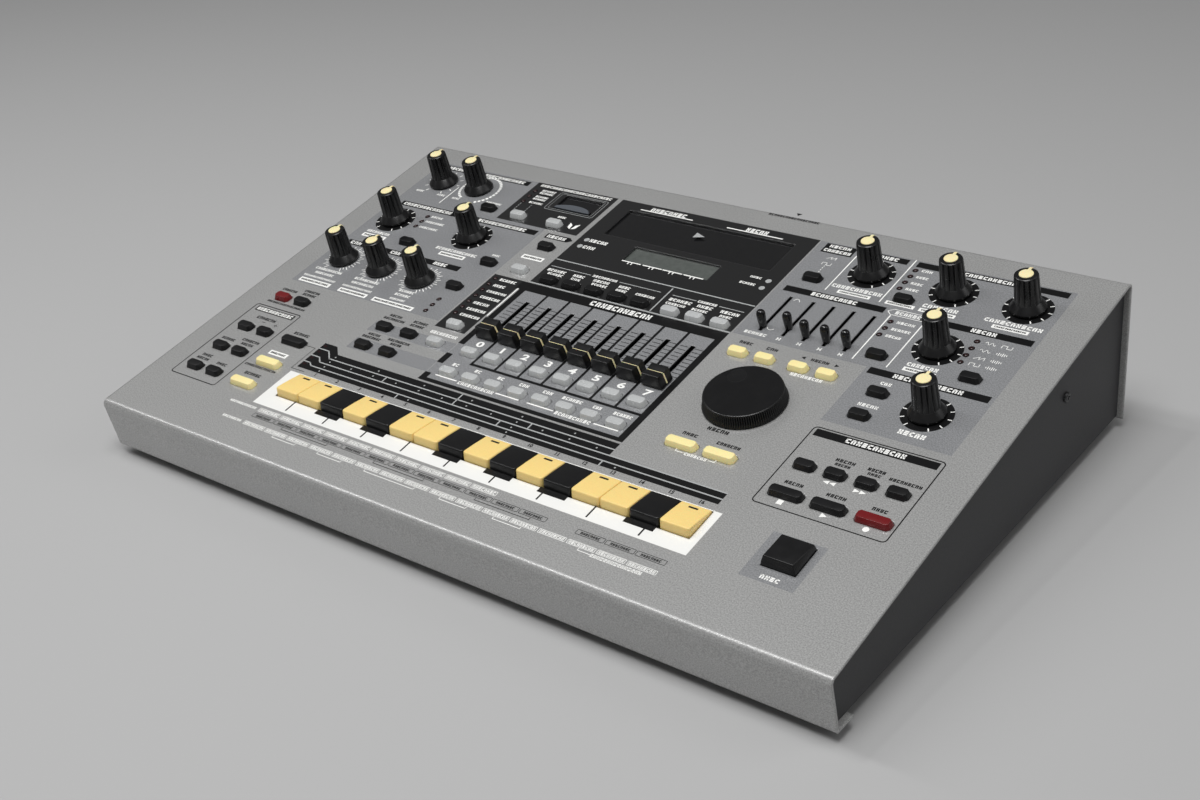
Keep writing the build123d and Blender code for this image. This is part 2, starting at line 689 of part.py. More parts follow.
def key():
    """A wedge-shaped key: low at the rear, thick at the front, with rounded upper edges."""
    half = (across(KEY_PITCH) - KEY_GAP) / 2
    side = Polygon(
        (KEY_FRONT_V, KEY_ROOT_H), (KEY_FRONT_V, 0), (KEY_FRONT_V + KEY_FACE_LEAN, KEY_FRONT_H),
        (KEY_REAR_V, KEY_REAR_H), (KEY_REAR_V, KEY_ROOT_H), align=None,
    )
    body = extrude(Plane.YZ * side, amount=half, both=True)
    crown = body.faces().sort_by(Axis.Z)[-1]
    rims = [edge for edge in crown.edges() if edge.center().Y < KEY_REAR_V - 1.0]
    return chamfer(rims, KEY_EDGE)


def tap_pad():
    """The square pad: straight walls below, bevelled to a smaller top."""
    outline = Rectangle(*PAD_SIZE)
    lower = tapered(outline, KEY_ROOT_H, PAD_SHOULDER_H, 0.0)
    return lower + tapered(outline, PAD_SHOULDER_H, PAD_H, PAD_BEVEL)


def button_cap(size):
    """One cap: an eight-sided block with a bevelled crown."""
    outline = chamfered_rectangle(*size, BUTTON_CORNER)
    lower = tapered(outline, BUTTON_ROOT_H, BUTTON_SHOULDER_H, 0.0)
    return lower + tapered(outline, BUTTON_SHOULDER_H, BUTTON_H, BUTTON_BEVEL)


def button_bank(places):
    """All caps of one moulding."""
    caps = {size: button_cap(size) for size in (BUTTON_SIZE, WIDE_BUTTON_SIZE)}
    return Compound(children=[on_panel(caps[size], u, v) for u, v, size in places])


# ---------------------------------------------------------------- windows and boards


def display_windows():
    """The panes behind the panel: liquid-crystal window, smoked LED window, beam lens."""
    panes = []
    margin = WINDOW_MARGIN
    low = -SHEET - WINDOW_THICK
    lcd, led_window, beam = window_boxes()
    for u0, u1, v0, v1 in (lcd, led_window):
        pane = block(u0 - margin, u1 + margin, v0 - margin, v1 + margin, low, -SHEET)
        panes.append(on_panel(pane))
    u0, u1, v0, v1 = beam
    base = block(u0 - margin, u1 + margin, v0 - margin, v1 + margin, low, -SHEET)
    rise = BEAM_LENS_RISE
    bow = Pos((u0 + u1) / 2, v0 + rise - BEAM_LENS_R, -SHEET) * Cylinder(BEAM_LENS_R, 2 * BEAM_LENS_H)
    gap = BEAM_LENS_GAP
    lens = bow & block(u0 + gap, u1 - gap, v0 + gap, v1 - gap, -SHEET, BEAM_LENS_H - SHEET)
    panes.append(on_panel(base + lens))
    return Compound(children=panes)


def control_board():
    """The circuit board under the panel with a tact switch below every cap and key."""
    half = WIDTH / 2 - SIDE_INSET - TRAY_SHEET - BOARD_SIDE_GAP
    ends = (BOARD_END_GAP, PANEL_LENGTH - BOARD_END_GAP)
    board = block(-half, half, *ends, BOARD_H - BOARD_THICK, BOARD_H)
    s = SWITCH_SIZE / 2
    switch_top = BUTTON_ROOT_H - BUTTON_TRAVEL - RUN_GAP
    switches = []
    for places in button_banks().values():
        for u, v, _ in places:
            switches.append(block(u - s, u + s, v - s, v + s, BOARD_H, switch_top))
    rail = block(
        key_u(-0.5), key_u(KEY_COUNT - 0.5),
        KEY_REAR_V - KEY_RAIL_DEPTH, KEY_REAR_V, BOARD_H, KEY_ROOT_H - PRESS_GAP,
    )
    switches.append(rail)
    v = KEY_REAR_V - KEY_SWITCH_SETBACK
    key_dip = KEY_SWITCH_SETBACK * sin(radians(KEY_PRESS_ANGLE))
    for index in range(KEY_COUNT):
        u = key_u(index)
        top = KEY_ROOT_H - key_dip - PRESS_GAP
        switches.append(block(u - s, u + s, v - s, v + s, BOARD_H, top))
    u, v = spread(PAD_PLACE)
    switches.append(block(u - s, u + s, v - s, v + s, BOARD_H, KEY_ROOT_H - PAD_TRAVEL - RUN_GAP))
    return on_panel(board + switches)


def panel_pots():
    """Bodies of the rotary controls, the endless encoder and the slide controls."""
    x, y, z = POT_SIZE
    pots = []
    bush_top = -SHEET
    for u, v in rotary_places():
        body = block(-x / 2, x / 2, -y / 2, y / 2, BOARD_H, BOARD_H + z)
        bush = tapered(ring_of(POT_BUSH_R, SHAFT_SIDES), BOARD_H + z, bush_top, 0.0)
        bore = tapered(
            ring_of(SHAFT_R + RUN_GAP, SHAFT_SIDES), BOARD_H + z - POT_WELL, bush_top, 0.0
        )
        pots.append(on_panel(body + bush - bore, u, v))
    rails = [(fader_u(index), FADER_REST_V, FADER_TRAVEL) for index in range(FADER_COUNT)]
    rails += [(across(u), SLIDER_LOW_V, SLIDER_TRAVEL) for u in SLIDER_U]
    half = SLIDE_POT_WIDTH / 2
    for u, rest, travel in rails:
        front, rear = slot_reach(rest, travel, BLADE_LENGTH)
        ends = (front - SLIDE_POT_END, rear + SLIDE_POT_END)
        body = block(-half, half, *ends, BOARD_H, BOARD_H + SLIDE_POT_H)
        track = block(
            -BLADE_THICK / 2 - RUN_GAP, BLADE_THICK / 2 + RUN_GAP, front, rear,
            BOARD_H + SLIDE_POT_H - BLADE_DIP - RUN_GAP, BOARD_H + SLIDE_POT_H + 1.0,
        )
        pots.append(on_panel(body - track, u))
    return Compound(children=pots)


def main_board():
    """The sound board on its standoffs with the mains transformer and the larger chips."""
    x = MAIN_BOARD_SIZE[0] / 2
    y = MAIN_BOARD_SIZE[1] / 2
    low = FLOOR_Z + TRAY_SHEET + STANDOFF_H
    top = low + MAIN_BOARD_SIZE[2]
    board = block(-x, x, MAIN_BOARD_Y - y, MAIN_BOARD_Y + y, low, top)
    on_board = []
    for place_x, shift_y, width, length, height in BOARD_PARTS:
        middle = MAIN_BOARD_Y + shift_y
        on_board.append(
            block(
                place_x - width / 2, place_x + width / 2, middle - length / 2, middle + length / 2,
                top, top + height,
            )
        )
    return board + on_board


# ---------------------------------------------------------------- rear panel and screws


def facing_rear(radius, low_y, high_y):
    """A round bar along Y between two depths, about the origin's X and Z."""
    return Pos(0, (low_y + high_y) / 2, 0) * Rot(90, 0, 0) * Cylinder(radius, high_y - low_y)


def round_socket(body_size, face_r, bore_r, bore_depth):
    """A socket body behind the rear flange with a round face through it and a blind bore."""
    width, deep, height = body_size
    inner = DEPTH / 2 - SHEET
    body = block(-width / 2, width / 2, inner - deep, inner, -height / 2, height / 2)
    face = facing_rear(face_r, inner, DEPTH / 2)
    return body + face - facing_rear(bore_r, DEPTH / 2 - bore_depth, DEPTH / 2)


def mains_inlet():
    """The moulded mains inlet: shell, flange behind the sheet, well and three blades."""
    inner = DEPTH / 2 - SHEET
    outer = DEPTH / 2
    x = INLET_SIZE[0] / 2
    z = INLET_SIZE[1] / 2
    wall = INLET_WALL
    shell = block(-x, x, outer - INLET_DEPTH - wall, outer, -z, z)
    lug = INLET_FLANGE
    flange = block(-x - lug, x + lug, inner - 2.0, inner, -z - lug / 2, z + lug / 2)
    well = block(-x + wall, x - wall, outer - INLET_DEPTH, outer, -z + wall, z - wall)
    blades = []
    for dx, dz in INLET_BLADES:
        root = outer - INLET_DEPTH
        blades.append(block(dx - 1, dx + 1, root, root + BLADE_REACH, dz - 2, dz + 2))
    return shell + flange - well + blades


def rocker_housing():
    """The body of the mains switch, open to the rear for its rocker."""
    inner = DEPTH / 2 - SHEET
    x = ROCKER_SIZE[0] / 2 + RUN_GAP
    z = ROCKER_SIZE[1] / 2 + RUN_GAP
    wall = HOUSING_WALL
    body = block(-x - wall, x + wall, inner - HOUSING_DEPTH, inner, -z - wall, z + wall)
    return body - block(-x, x, inner - ROCKER_WELL, inner, -z, z)


def card_reader():
    """The memory-card reader with its flat mouth."""
    inner = DEPTH / 2 - SHEET
    x = CARD_SLOT[0] / 2
    z = CARD_SLOT[1] / 2
    wall = CARD_WALL
    body = block(-x - wall, x + wall, inner - CARD_DEPTH, inner, -z - wall, z + wall)
    return body - block(-x, x, inner - CARD_DEPTH + wall, inner, -z, z)


def rear_sockets():
    """Jack sockets, five-pin sockets, mains inlet, switch housing and card reader."""
    jack = round_socket(JACK_BODY, JACK_FACE_R, JACK_BORE_R, JACK_DEPTH)
    five_pin = round_socket(DIN_BODY, DIN_FACE_R, DIN_WELL_R, DIN_DEPTH)
    sockets = [Pos(across(x), 0, SOCKET_Z) * jack for x in JACK_X]
    sockets += [Pos(across(x), 0, SOCKET_Z) * five_pin for x in DIN_X]
    sockets.append(Pos(across(INLET_X), 0, SOCKET_Z) * mains_inlet())
    sockets.append(Pos(across(ROCKER_X), 0, SOCKET_Z) * rocker_housing())
    sockets.append(Pos(across(CARD_X), 0, CARD_Z) * card_reader())
    return Compound(children=sockets)


def power_switch():
    """The rocker of the mains switch, resting on its off side."""
    width, height = ROCKER_SIZE
    rocker = Rot(-ROCKER_ANGLE / 2, 0, 0) * Box(width, ROCKER_THICK, height - 2 * ROCKER_RELIEF)
    return Pos(across(ROCKER_X), DEPTH / 2 - ROCKER_PIVOT_DEPTH, SOCKET_Z) * rocker


def screw():
    """A pan-head screw standing on the XY plane, its shank pointing down."""
    head = tapered(ring_of(SCREW_R, SCREW_SIDES), 0.0, SCREW_HEAD_H, SCREW_HEAD_DOME)
    return head + tapered(ring_of(SCREW_SHANK_R, 6), -SCREW_SHANK, 0.0, 0.0)


def node_shapes():
    """Every node of the part by name."""
    shapes = {
        "top_panel": top_panel(),
        "bottom_chassis": bottom_chassis(),
        "rubber_feet": rubber_feet(),
        "case_screws": case_screws(),
        "control_board": control_board(),
        "panel_pots": panel_pots(),
        "display_windows": display_windows(),
        "main_board": main_board(),
        "rear_sockets": rear_sockets(),
        "power_switch": power_switch(),
        "value_dial": group_on_panel(value_dial(), *spread(DIAL_PLACE)),
        "tap_pad": on_panel(tap_pad(), *spread(PAD_PLACE)),
    }
    knob_pieces = knob()
    for name, (u, v) in knob_places().items():
        shapes[name] = group_on_panel(knob_pieces, u, v)
    one_fader = fader()
    for index in range(FADER_COUNT):
        shapes[f"fader_{index + 1}"] = on_panel(one_fader, fader_u(index), FADER_REST_V)
    one_slider = slider()
    for name, u, lift in zip(SLIDER_NAMES, SLIDER_U, SLIDER_LIFT):
        shapes[f"slider_{name}"] = on_panel(one_slider, across(u), SLIDER_LOW_V + lift)
    one_key = key()
    for index in range(KEY_COUNT):
        shapes[f"key_{index + 1:02d}"] = on_panel(one_key, key_u(index))
    for name, places in button_banks().items():
        shapes[name] = button_bank(places)
    return shapes


def main():
    os.makedirs("parts", exist_ok=True)
    for name, shape in node_shapes().items():
        export_step(shape, f"parts/{name}.step")


if __name__ == "__main__":
    main()
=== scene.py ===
from math import atan2, cos, hypot, pi, radians, sin

import bmesh
import bpy
from mathutils import Matrix, Vector


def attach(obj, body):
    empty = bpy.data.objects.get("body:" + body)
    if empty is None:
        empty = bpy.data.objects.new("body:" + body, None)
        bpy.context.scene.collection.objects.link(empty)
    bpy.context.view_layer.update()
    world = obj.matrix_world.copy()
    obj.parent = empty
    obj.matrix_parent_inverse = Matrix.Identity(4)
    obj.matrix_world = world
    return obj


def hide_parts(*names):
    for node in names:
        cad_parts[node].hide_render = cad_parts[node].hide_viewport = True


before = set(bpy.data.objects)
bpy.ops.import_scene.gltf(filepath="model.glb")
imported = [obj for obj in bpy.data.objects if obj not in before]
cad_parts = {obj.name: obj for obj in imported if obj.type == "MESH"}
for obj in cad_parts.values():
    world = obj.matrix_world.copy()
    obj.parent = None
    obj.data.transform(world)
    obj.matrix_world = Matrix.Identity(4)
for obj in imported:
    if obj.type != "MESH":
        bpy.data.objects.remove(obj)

bl_info = {
    "name": "Drum machine",
    "version": (1, 0, 0),
    "blender": (4, 5, 0),
    "location": "View3D > Sidebar > Drum machine",
    "description": "Knobs, faders, keys, caps, inks, panes and paints of a table-top drum machine",
    "category": "Object",
}

# ---- the frame's own sizes, in millimetres ----
MM = 0.001
DEPTH = 285.0
FRONT_TOP_Z = 34.8
REAR_TOP_Z = 83.1
REAR_FACE_Y = DEPTH / 2
SLOPE = atan2(REAR_TOP_Z - FRONT_TOP_Z, DEPTH)
# PANEL carries panel millimetres into the frame, UPRIGHT the case's own millimetres.
PANEL_ORIGIN = Vector((0.0, -DEPTH / 2 * MM, FRONT_TOP_Z * MM))
PANEL = (
    Matrix.Translation(PANEL_ORIGIN)
    @ Matrix.Rotation(SLOPE, 4, "X")
    @ Matrix.Diagonal((MM, MM, MM, 1.0))
)
UPRIGHT = Matrix.Diagonal((MM, MM, MM, 1.0))
# Inks lie this high above the panel face; the high one prints over the low one.
LOW_INK = 0.05
HIGH_INK = 0.10

# ---- control places on the panel: u to the right, v up the slope ----
BUTTON_PITCH = 15.8
KEY_PITCH = 16.84
KNOBS = {
    "knob_volume": (-194.4, 250.8, "short"),
    "knob_low_boost": (-165.9, 251.6, "growing"),
    "knob_quantize": (-195.4, 205.8, "disc"),
    "knob_accent": (-133.2, 206.4, "disc"),
    "knob_reverb": (-195.8, 160.2, "fine"),
    "knob_delay": (-164.1, 159.5, "fine"),
    "knob_effect": (-132.6, 159.3, "fine"),
    "knob_pitch": (108.2, 251.5, "disc"),
    "knob_cutoff": (155.2, 251.0, "disc"),
    "knob_resonance": (195.1, 250.8, "disc"),
    "knob_lfo_depth": (169.8, 205.8, "disc"),
    "knob_glide_time": (188.4, 160.1, "disc"),
}
DIAL_PLACE = (104.6, 135.5)
DIMPLE_PLACE = (-9.3, 9.0)
FADER_PLACES = [(-55.9 + BUTTON_PITCH * index, 132.2) for index in range(8)]
SLIDERS = {"depth": 79.2, "attack": 92.8, "decay": 104.6, "sustain": 116.4, "release": 128.1}
SLIDER_V = 191.6
ATTACK_V = 194.6
KEY_PLACES = [-127.1 + KEY_PITCH * index for index in range(16)]
BLACK_KEYS = (3, 5, 8, 10, 12, 15)
PAD_PLACE = (179.9, 52.8)
LED_COLUMNS = {
    -177.3: (215.5, 210.0, 204.5),
    -128.6: (261.6, 255.8, 249.9),
    -108.5: (148.6, 142.9, 137.1),
    -90.0: (176.9, 171.1, 165.2, 159.4, 153.5, 147.7, 141.8),
    127.8: (262.2, 256.5, 250.9, 245.2),
    137.5: (218.1, 212.4, 206.7),
    184.2: (218.3, 212.5, 206.7, 200.9),
}
JACK_X = (-20.0, 12.0, 44.0, 76.0, 108.0)
SOCKET_Z = 34.0
SCREW_PLACES = [
    ((228.3, 76.0, 51.0), (0, 90, 0)),
    ((-228.3, 76.0, 51.0), (0, -90, 0)),
    *[((x, REAR_FACE_Y, 14.0), (-90, 0, 0)) for x in (-216.0, -110.0, 152.0, 216.0)],
    *[((x, -130.5, 6.0), (180, 0, 0)) for x in (-200.0, -70.0, 70.0, 200.0)],
]


def button_row(u, v, count, wide=False, pitch=BUTTON_PITCH):
    """Button places side by side, as (u, v, wide)."""
    return [(u + index * pitch, v, wide) for index in range(count)]


BUTTON_BANKS = {
    "buttons_black_left": button_row(-187.4, 115.7, 1) + button_row(-202.8, 84.9, 2)
    + button_row(-202.9, 65.2, 2) + button_row(-203.2, 45.8, 2)
    + button_row(-162.1, 84.5, 1, True) + button_row(-169.2, 188.1, 1)
    + button_row(-144.3, 235.6, 1) + button_row(-104.4, 188.1, 1) + button_row(-108.1, 161.7, 1)
    + button_row(-81.2, 212.8, 1) + button_row(-120.1, 115.4, 2, pitch=18.5)
    + button_row(-120.1, 97.7, 2, pitch=18.5) + button_row(-58.0, 185.9, 5),
    "buttons_black_right": button_row(80.9, 237.7, 1) + button_row(134.8, 236.5, 1)
    + button_row(144.8, 191.0, 1) + button_row(194.4, 190.8, 1) + button_row(159.9, 165.1, 1)
    + button_row(160.0, 147.4, 1) + button_row(155.5, 106.3, 4)
    + button_row(157.9, 86.4, 2, True, 21.7),
    "buttons_cream": button_row(-161.4, 64.0, 1, True) + button_row(-162.1, 45.0, 1, True)
    + button_row(79.3, 167.9, 2) + button_row(114.4, 168.1, 2)
    + button_row(93.9, 96.7, 2, True, 21.7),
    "buttons_red": button_row(-202.9, 115.3, 1) + button_row(201.8, 86.7, 1, True),
    "buttons_clear_lower": button_row(-56.0, 114.8, 8) + button_row(-55.9, 96.7, 8)
    + button_row(-81.6, 115.2, 1),
    "buttons_clear_upper": button_row(25.4, 185.0, 3) + button_row(-81.2, 188.3, 1)
    + button_row(-120.4, 235.0, 1) + button_row(-92.4, 234.6, 1) + button_row(-81.7, 132.0, 1),
}
BANK_FINISHES = {
    "buttons_black_left": "satin black moulding",
    "buttons_black_right": "satin black moulding",
    "buttons_cream": "cream cap moulding",
    "buttons_red": "red cap moulding",
    "buttons_clear_lower": "frosted acrylic cap",
    "buttons_clear_upper": "frosted acrylic cap",
}
# The colour slot that each finish belongs to.
SLOTS = {
    "satin black moulding": "black_plastic",
    "knob black moulding": "black_plastic",
    "gloss black stem": "black_plastic",
    "gloss black dial": "gloss_black",
    "cream key moulding": "cream_plastic",
    "cream cap moulding": "cream_cap",
    "ivory tip moulding": "cream_cap",
    "red cap moulding": "red_plastic",
    "unlit red diode lens": "red_plastic",
    "frosted acrylic cap": "clear_cap",
    "white panel ink": "panel_paint",
    "black panel ink": "panel_paint",
    "grey panel ink": "panel_paint",
    "dark lettering ink": "panel_paint",
    "black oxide screw steel": "screw_steel",
    "nickel plated nut": "screw_steel",
}
# Finishes of the frame's own nodes; the rest are satin black, and most are replaced by a piece.
NODE_FINISHES = {
    "top_panel": "silver enamel with inked fields",
    "bottom_chassis": "dark powder coat",
    "rubber_feet": "moulded foot rubber",
    "case_screws": "black oxide screw steel",
    "control_board": "green solder mask",
    "panel_pots": "control body moulding",
    "main_board": "green solder mask",
    "display_windows": "acrylic display panes",
    "rear_sockets": "socket black moulding",
}

# ---- sizes of the forms, in millimetres: h is the height above the panel face ----
CAP_LENGTH = 6.4
CAP_CORNER = 1.4
KEY_GAP = 0.4
KEY_FOOT_H = -5.0
# The key's top slopes from its crest to its rear edge, as (v, h).
KEY_CREST = (54.2, 2.95)
KEY_REAR = (63.4, 1.0)
BLADE_END_H = -10.0
DIAL_TOP_H = 7.24
DIMPLE_RADIUS = 5.6
DIMPLE_DEPTH = 2.1
# The oval lens in the beam window, and the lines where one pane gives way to the next.
LENS_PLACE = (-92.6, 247.5, 0.0)
LENS_REACH = (15.0, 9.5, 50.0)
LENS_END_U = -70.0
DIGITS_START_V = 232.0

# Painted fields of the panel as (u0, u1, v0, v1): the holes in them stay open.
GREY_FIELDS = [
    (-213.2, -94.4, 132.0, 270.8),
    (66.9, 211.9, 181.6, 270.8),
    (144.7, 211.9, 138.1, 181.8),
    (165.4, 192.7, 35.2, 64.2),
    (-129.3, -69.0, 110.2, 118.9),
    (-129.3, -69.0, 93.2, 103.0),
    (-68.6, 61.8, 89.2, 173.2),
]
BLACK_FIELDS = [
    (-68.3, 66.1, 181.0, 271.0),
    (-132.8, -71.6, 228.9, 270.9),
    (-93.2, -71.3, 127.6, 180.5),
]
WHITE_FIELDS = [(-143.9, 138.5, 35.1, 64.3)]
# How far the painted shade in the holes reaches, over the cut walls and the sheet's underside, as
# (u0, u1, v0, v1).
PAINTED_HOLE_SHADE = [(-229.0, 229.0, 6.0, 283.0)]

# ---- inks, as (u0, u1, v0, v1) ----
TITLE_BARS = [
    (-208.2, -137.5, 264.8, 269.3),
    (-206.0, -97.0, 221.0, 225.6),
    (-208.7, -117.5, 174.4, 178.9),
    (71.2, 89.6, 261.6, 270.0),
    (92.8, 120.9, 265.2, 269.8),
    (126.2, 209.0, 265.2, 269.8),
    (71.2, 130.1, 223.3, 228.0),
    (150.4, 209.4, 223.3, 228.0),
    (146.7, 209.8, 177.4, 182.2),
    (147.0, 210.3, 127.0, 131.9),
    (-211.9, -180.6, 99.9, 103.9),
    (-72.3, 65.9, 173.2, 180.4),
    (61.8, 65.9, 86.8, 173.2),
    (-69.1, 61.8, 86.8, 89.4),
    (-69.1, -64.9, 127.9, 173.2),
    (-69.1, -64.9, 120.0, 128.9),
    (-69.1, -64.9, 102.3, 110.9),
    (-69.1, -64.9, 89.4, 93.4),
    (-49.7, 61.8, 106.7, 108.4),
]
LABEL_BARS = [
    (-89.8, -74.4, 199.3, 203.1),
    (-205.3, -186.6, 184.7, 188.1),
    (-141.8, -122.2, 184.8, 188.2),
    (-208.7, -183.7, 133.1, 136.7),
    (-175.9, -153.3, 133.1, 136.7),
    (-148.1, -116.7, 133.1, 136.7),
    (99.0, 117.9, 230.9, 233.7),
    (126.8, 142.9, 230.9, 233.7),
    (145.6, 165.3, 230.9, 233.7),
    (185.0, 203.9, 230.9, 233.7),
    (161.4, 178.2, 185.4, 188.3),
    (-170.0, -155.9, 70.9, 74.4),
]
# Placeholder words in white and in dark ink, as (u0, u1, v, height).
WHITE_WORDS = [
    (-204.0, -191.5, 267.1, 2.8), (-174.0, -141.0, 267.1, 2.8), (-204.0, -164.0, 223.3, 2.8),
    (-142.5, -105.0, 223.3, 2.8), (-88.6, -74.8, 223.3, 2.8), (-206.2, -197.0, 176.7, 2.8),
    (-172.6, -164.2, 176.7, 2.8), (-137.6, -127.0, 176.7, 2.8), (73.6, 87.0, 267.9, 2.6),
    (72.2, 88.8, 263.9, 2.6), (104.0, 115.4, 267.5, 2.8), (150.0, 186.5, 267.5, 2.8),
    (87.3, 114.3, 225.7, 2.9), (177.3, 191.0, 225.7, 2.9), (160.0, 196.6, 179.8, 2.9),
    (163.3, 194.3, 129.5, 3.0), (-211.0, -181.4, 101.9, 2.7), (-21.6, 19.4, 176.9, 3.9),
    (136.0, 150.6, 225.7, 2.6), (-207.2, -201.0, 238.4, 1.8), (-189.6, -183.0, 238.4, 1.8),
    (-177.0, -170.9, 238.4, 1.8), (-174.6, -165.4, 216.3, 1.9), (-174.6, -159.6, 210.8, 1.9),
    (-174.6, -159.8, 204.9, 1.9), (-205.2, -186.6, 190.6, 2.2), (-148.0, -116.0, 190.6, 2.4),
    (-108.1, -102.1, 195.6, 1.6), (-207.4, -185.6, 147.4, 2.0), (-174.5, -154.9, 147.4, 2.0),
    (-138.4, -126.6, 147.4, 2.0), (-204.2, -188.8, 143.5, 2.0), (-173.6, -155.8, 143.5, 2.0),
    (-138.4, -126.6, 143.5, 2.0), (-209.6, -183.2, 139.2, 1.6), (-177.0, -153.0, 139.2, 1.6),
    (-138.4, -126.6, 139.2, 1.6), (-129.2, -74.8, 268.4, 2.4), (-124.4, -113.7, 263.6, 1.8),
    (-124.4, -113.7, 261.0, 1.8), (-124.4, -114.6, 256.9, 1.8), (-124.4, -114.6, 254.3, 1.8),
    (-124.4, -113.9, 250.3, 1.8), (-95.6, -89.6, 242.4, 1.8), (-151.6, -139.4, 241.6, 1.6),
    (-45.0, -20.0, 267.2, 3.2), (20.6, 35.2, 267.2, 3.2), (-60.6, -47.8, 227.7, 2.8),
    (-60.6, -51.8, 221.0, 2.8), (48.0, 55.2, 228.4, 1.7), (45.2, 55.2, 222.0, 1.9),
    (-66.0, -52.8, 195.2, 2.2), (-47.6, -39.6, 195.2, 2.2), (-33.4, -22.2, 195.2, 2.2),
    (-15.8, -8.0, 195.2, 2.2), (-63.6, -52.8, 192.0, 2.0), (-47.0, -40.4, 192.0, 2.0),
    (-32.4, -21.6, 192.0, 2.0), (-15.6, -8.2, 192.0, 2.0), (-2.6, 10.2, 192.6, 1.9),
    (18.0, 32.6, 195.2, 2.4), (36.0, 46.0, 195.2, 2.4), (50.8, 62.6, 195.2, 2.4),
    (18.0, 30.8, 191.7, 1.9), (34.8, 45.0, 191.7, 1.9), (52.4, 60.0, 191.7, 1.9),
    (-36.4, -19.4, 198.7, 1.9), (34.2, 46.4, 198.7, 1.9), (-86.6, -74.6, 176.9, 2.2),
    (-86.6, -78.0, 171.1, 2.2), (-86.6, -72.4, 165.2, 2.0), (-86.6, -72.4, 159.4, 2.2),
    (-86.6, -75.2, 153.5, 2.2), (-86.6, -72.8, 147.7, 2.2), (-86.6, -72.4, 141.8, 2.2),
    (-91.7, -72.1, 122.8, 2.4), (-45.4, -20.6, 92.4, 2.3), (19.6, 42.4, 92.4, 2.3),
    (130.9, 137.4, 263.0, 2.0), (130.9, 137.9, 257.1, 2.0), (130.9, 137.9, 251.3, 2.0),
    (130.9, 138.3, 245.8, 2.0), (93.4, 122.8, 236.3, 2.9), (145.6, 165.2, 236.3, 2.9),
    (179.0, 209.6, 236.3, 2.9), (72.0, 85.4, 185.2, 2.2), (91.0, 94.0, 185.2, 2.2),
    (102.9, 105.9, 185.2, 2.2), (114.7, 117.7, 185.2, 2.2), (126.5, 129.5, 185.2, 2.2),
    (140.8, 151.0, 218.6, 2.0), (140.8, 151.6, 212.8, 2.0), (140.8, 149.4, 207.0, 2.0),
    (161.4, 178.2, 190.7, 2.7), (112.8, 131.0, 163.1, 2.2), (157.0, 163.2, 172.8, 2.3),
    (154.8, 165.8, 155.2, 2.2), (181.8, 196.0, 144.5, 3.2), (98.6, 111.4, 91.9, 1.9),
    (174.6, 184.4, 38.2, 2.5), (99.0, 127.6, 17.3, 2.0),
]
DARK_WORDS = [
    (-210.8, -198.8, 122.6, 1.9), (-195.2, -183.0, 126.0, 1.9), (-194.2, -183.4, 123.0, 1.9),
    (-211.0, -179.8, 110.1, 1.6), (-204.2, -188.6, 95.2, 2.2), (-209.6, -198.8, 72.2, 2.0),
    (-195.6, -181.6, 75.4, 2.0), (-193.4, -183.6, 72.2, 2.0), (-208.2, -200.0, 55.8, 2.0),
    (-209.6, -199.6, 52.6, 2.0), (-192.8, -184.6, 52.8, 2.0), (-169.4, -157.2, 91.8, 2.1),
    (-176.0, -151.2, 59.2, 1.7), (-169.6, -156.6, 53.0, 2.2), (-125.8, -116.6, 126.2, 1.9),
    (-128.0, -112.0, 123.2, 1.9), (-107.6, -96.8, 126.2, 1.9), (-107.6, -97.2, 123.2, 1.9),
    (-125.6, -116.6, 107.9, 1.9), (-127.8, -113.8, 105.1, 1.9), (-110.4, -94.2, 107.9, 1.9),
    (-106.2, -98.0, 105.1, 1.9), (74.8, 82.8, 176.6, 2.1), (90.9, 97.7, 176.6, 2.1),
    (116.6, 127.0, 176.6, 2.1), (98.2, 110.4, 112.4, 2.5), (89.0, 97.8, 104.8, 2.1),
    (108.6, 121.8, 104.8, 2.1), (165.9, 176.1, 116.2, 2.1), (167.0, 175.0, 113.4, 1.8),
    (182.3, 191.4, 116.2, 2.1), (183.6, 190.6, 113.4, 1.8), (194.2, 210.6, 113.9, 2.0),
    (152.4, 162.2, 94.1, 2.1), (174.0, 184.2, 94.1, 2.1), (196.8, 204.6, 94.1, 2.1),
    (24.0, 57.0, 285.2, 1.9),
]


# ---------------------------------------------------------------- settings a user would change


class DrumMachineSizes(bpy.types.PropertyGroup):
    """Sizes of the fine forms."""

    flutes: bpy.props.IntProperty(
        name="Knob flutes", description="Grooves round a knob's grip", default=14, min=6, max=40
    )
    flute_depth: bpy.props.FloatProperty(
        name="Flute depth", description="Depth of a grip's grooves in millimetres", default=0.75
    )
    knurl_teeth: bpy.props.IntProperty(
        name="Dial ribs", description="Fine ribs round the value dial",
        default=110, min=30, max=200,
    )
    knurl_depth: bpy.props.FloatProperty(
        name="Dial rib depth", description="Depth between the dial's ribs in millimetres",
        default=0.7,
    )
    cap_rounding: bpy.props.FloatProperty(
        name="Cap rounding", description="Edge radius of a push cap in millimetres", default=0.14
    )
    key_rounding: bpy.props.FloatProperty(
        name="Key rounding", description="Edge radius of a note key in millimetres", default=0.7
    )


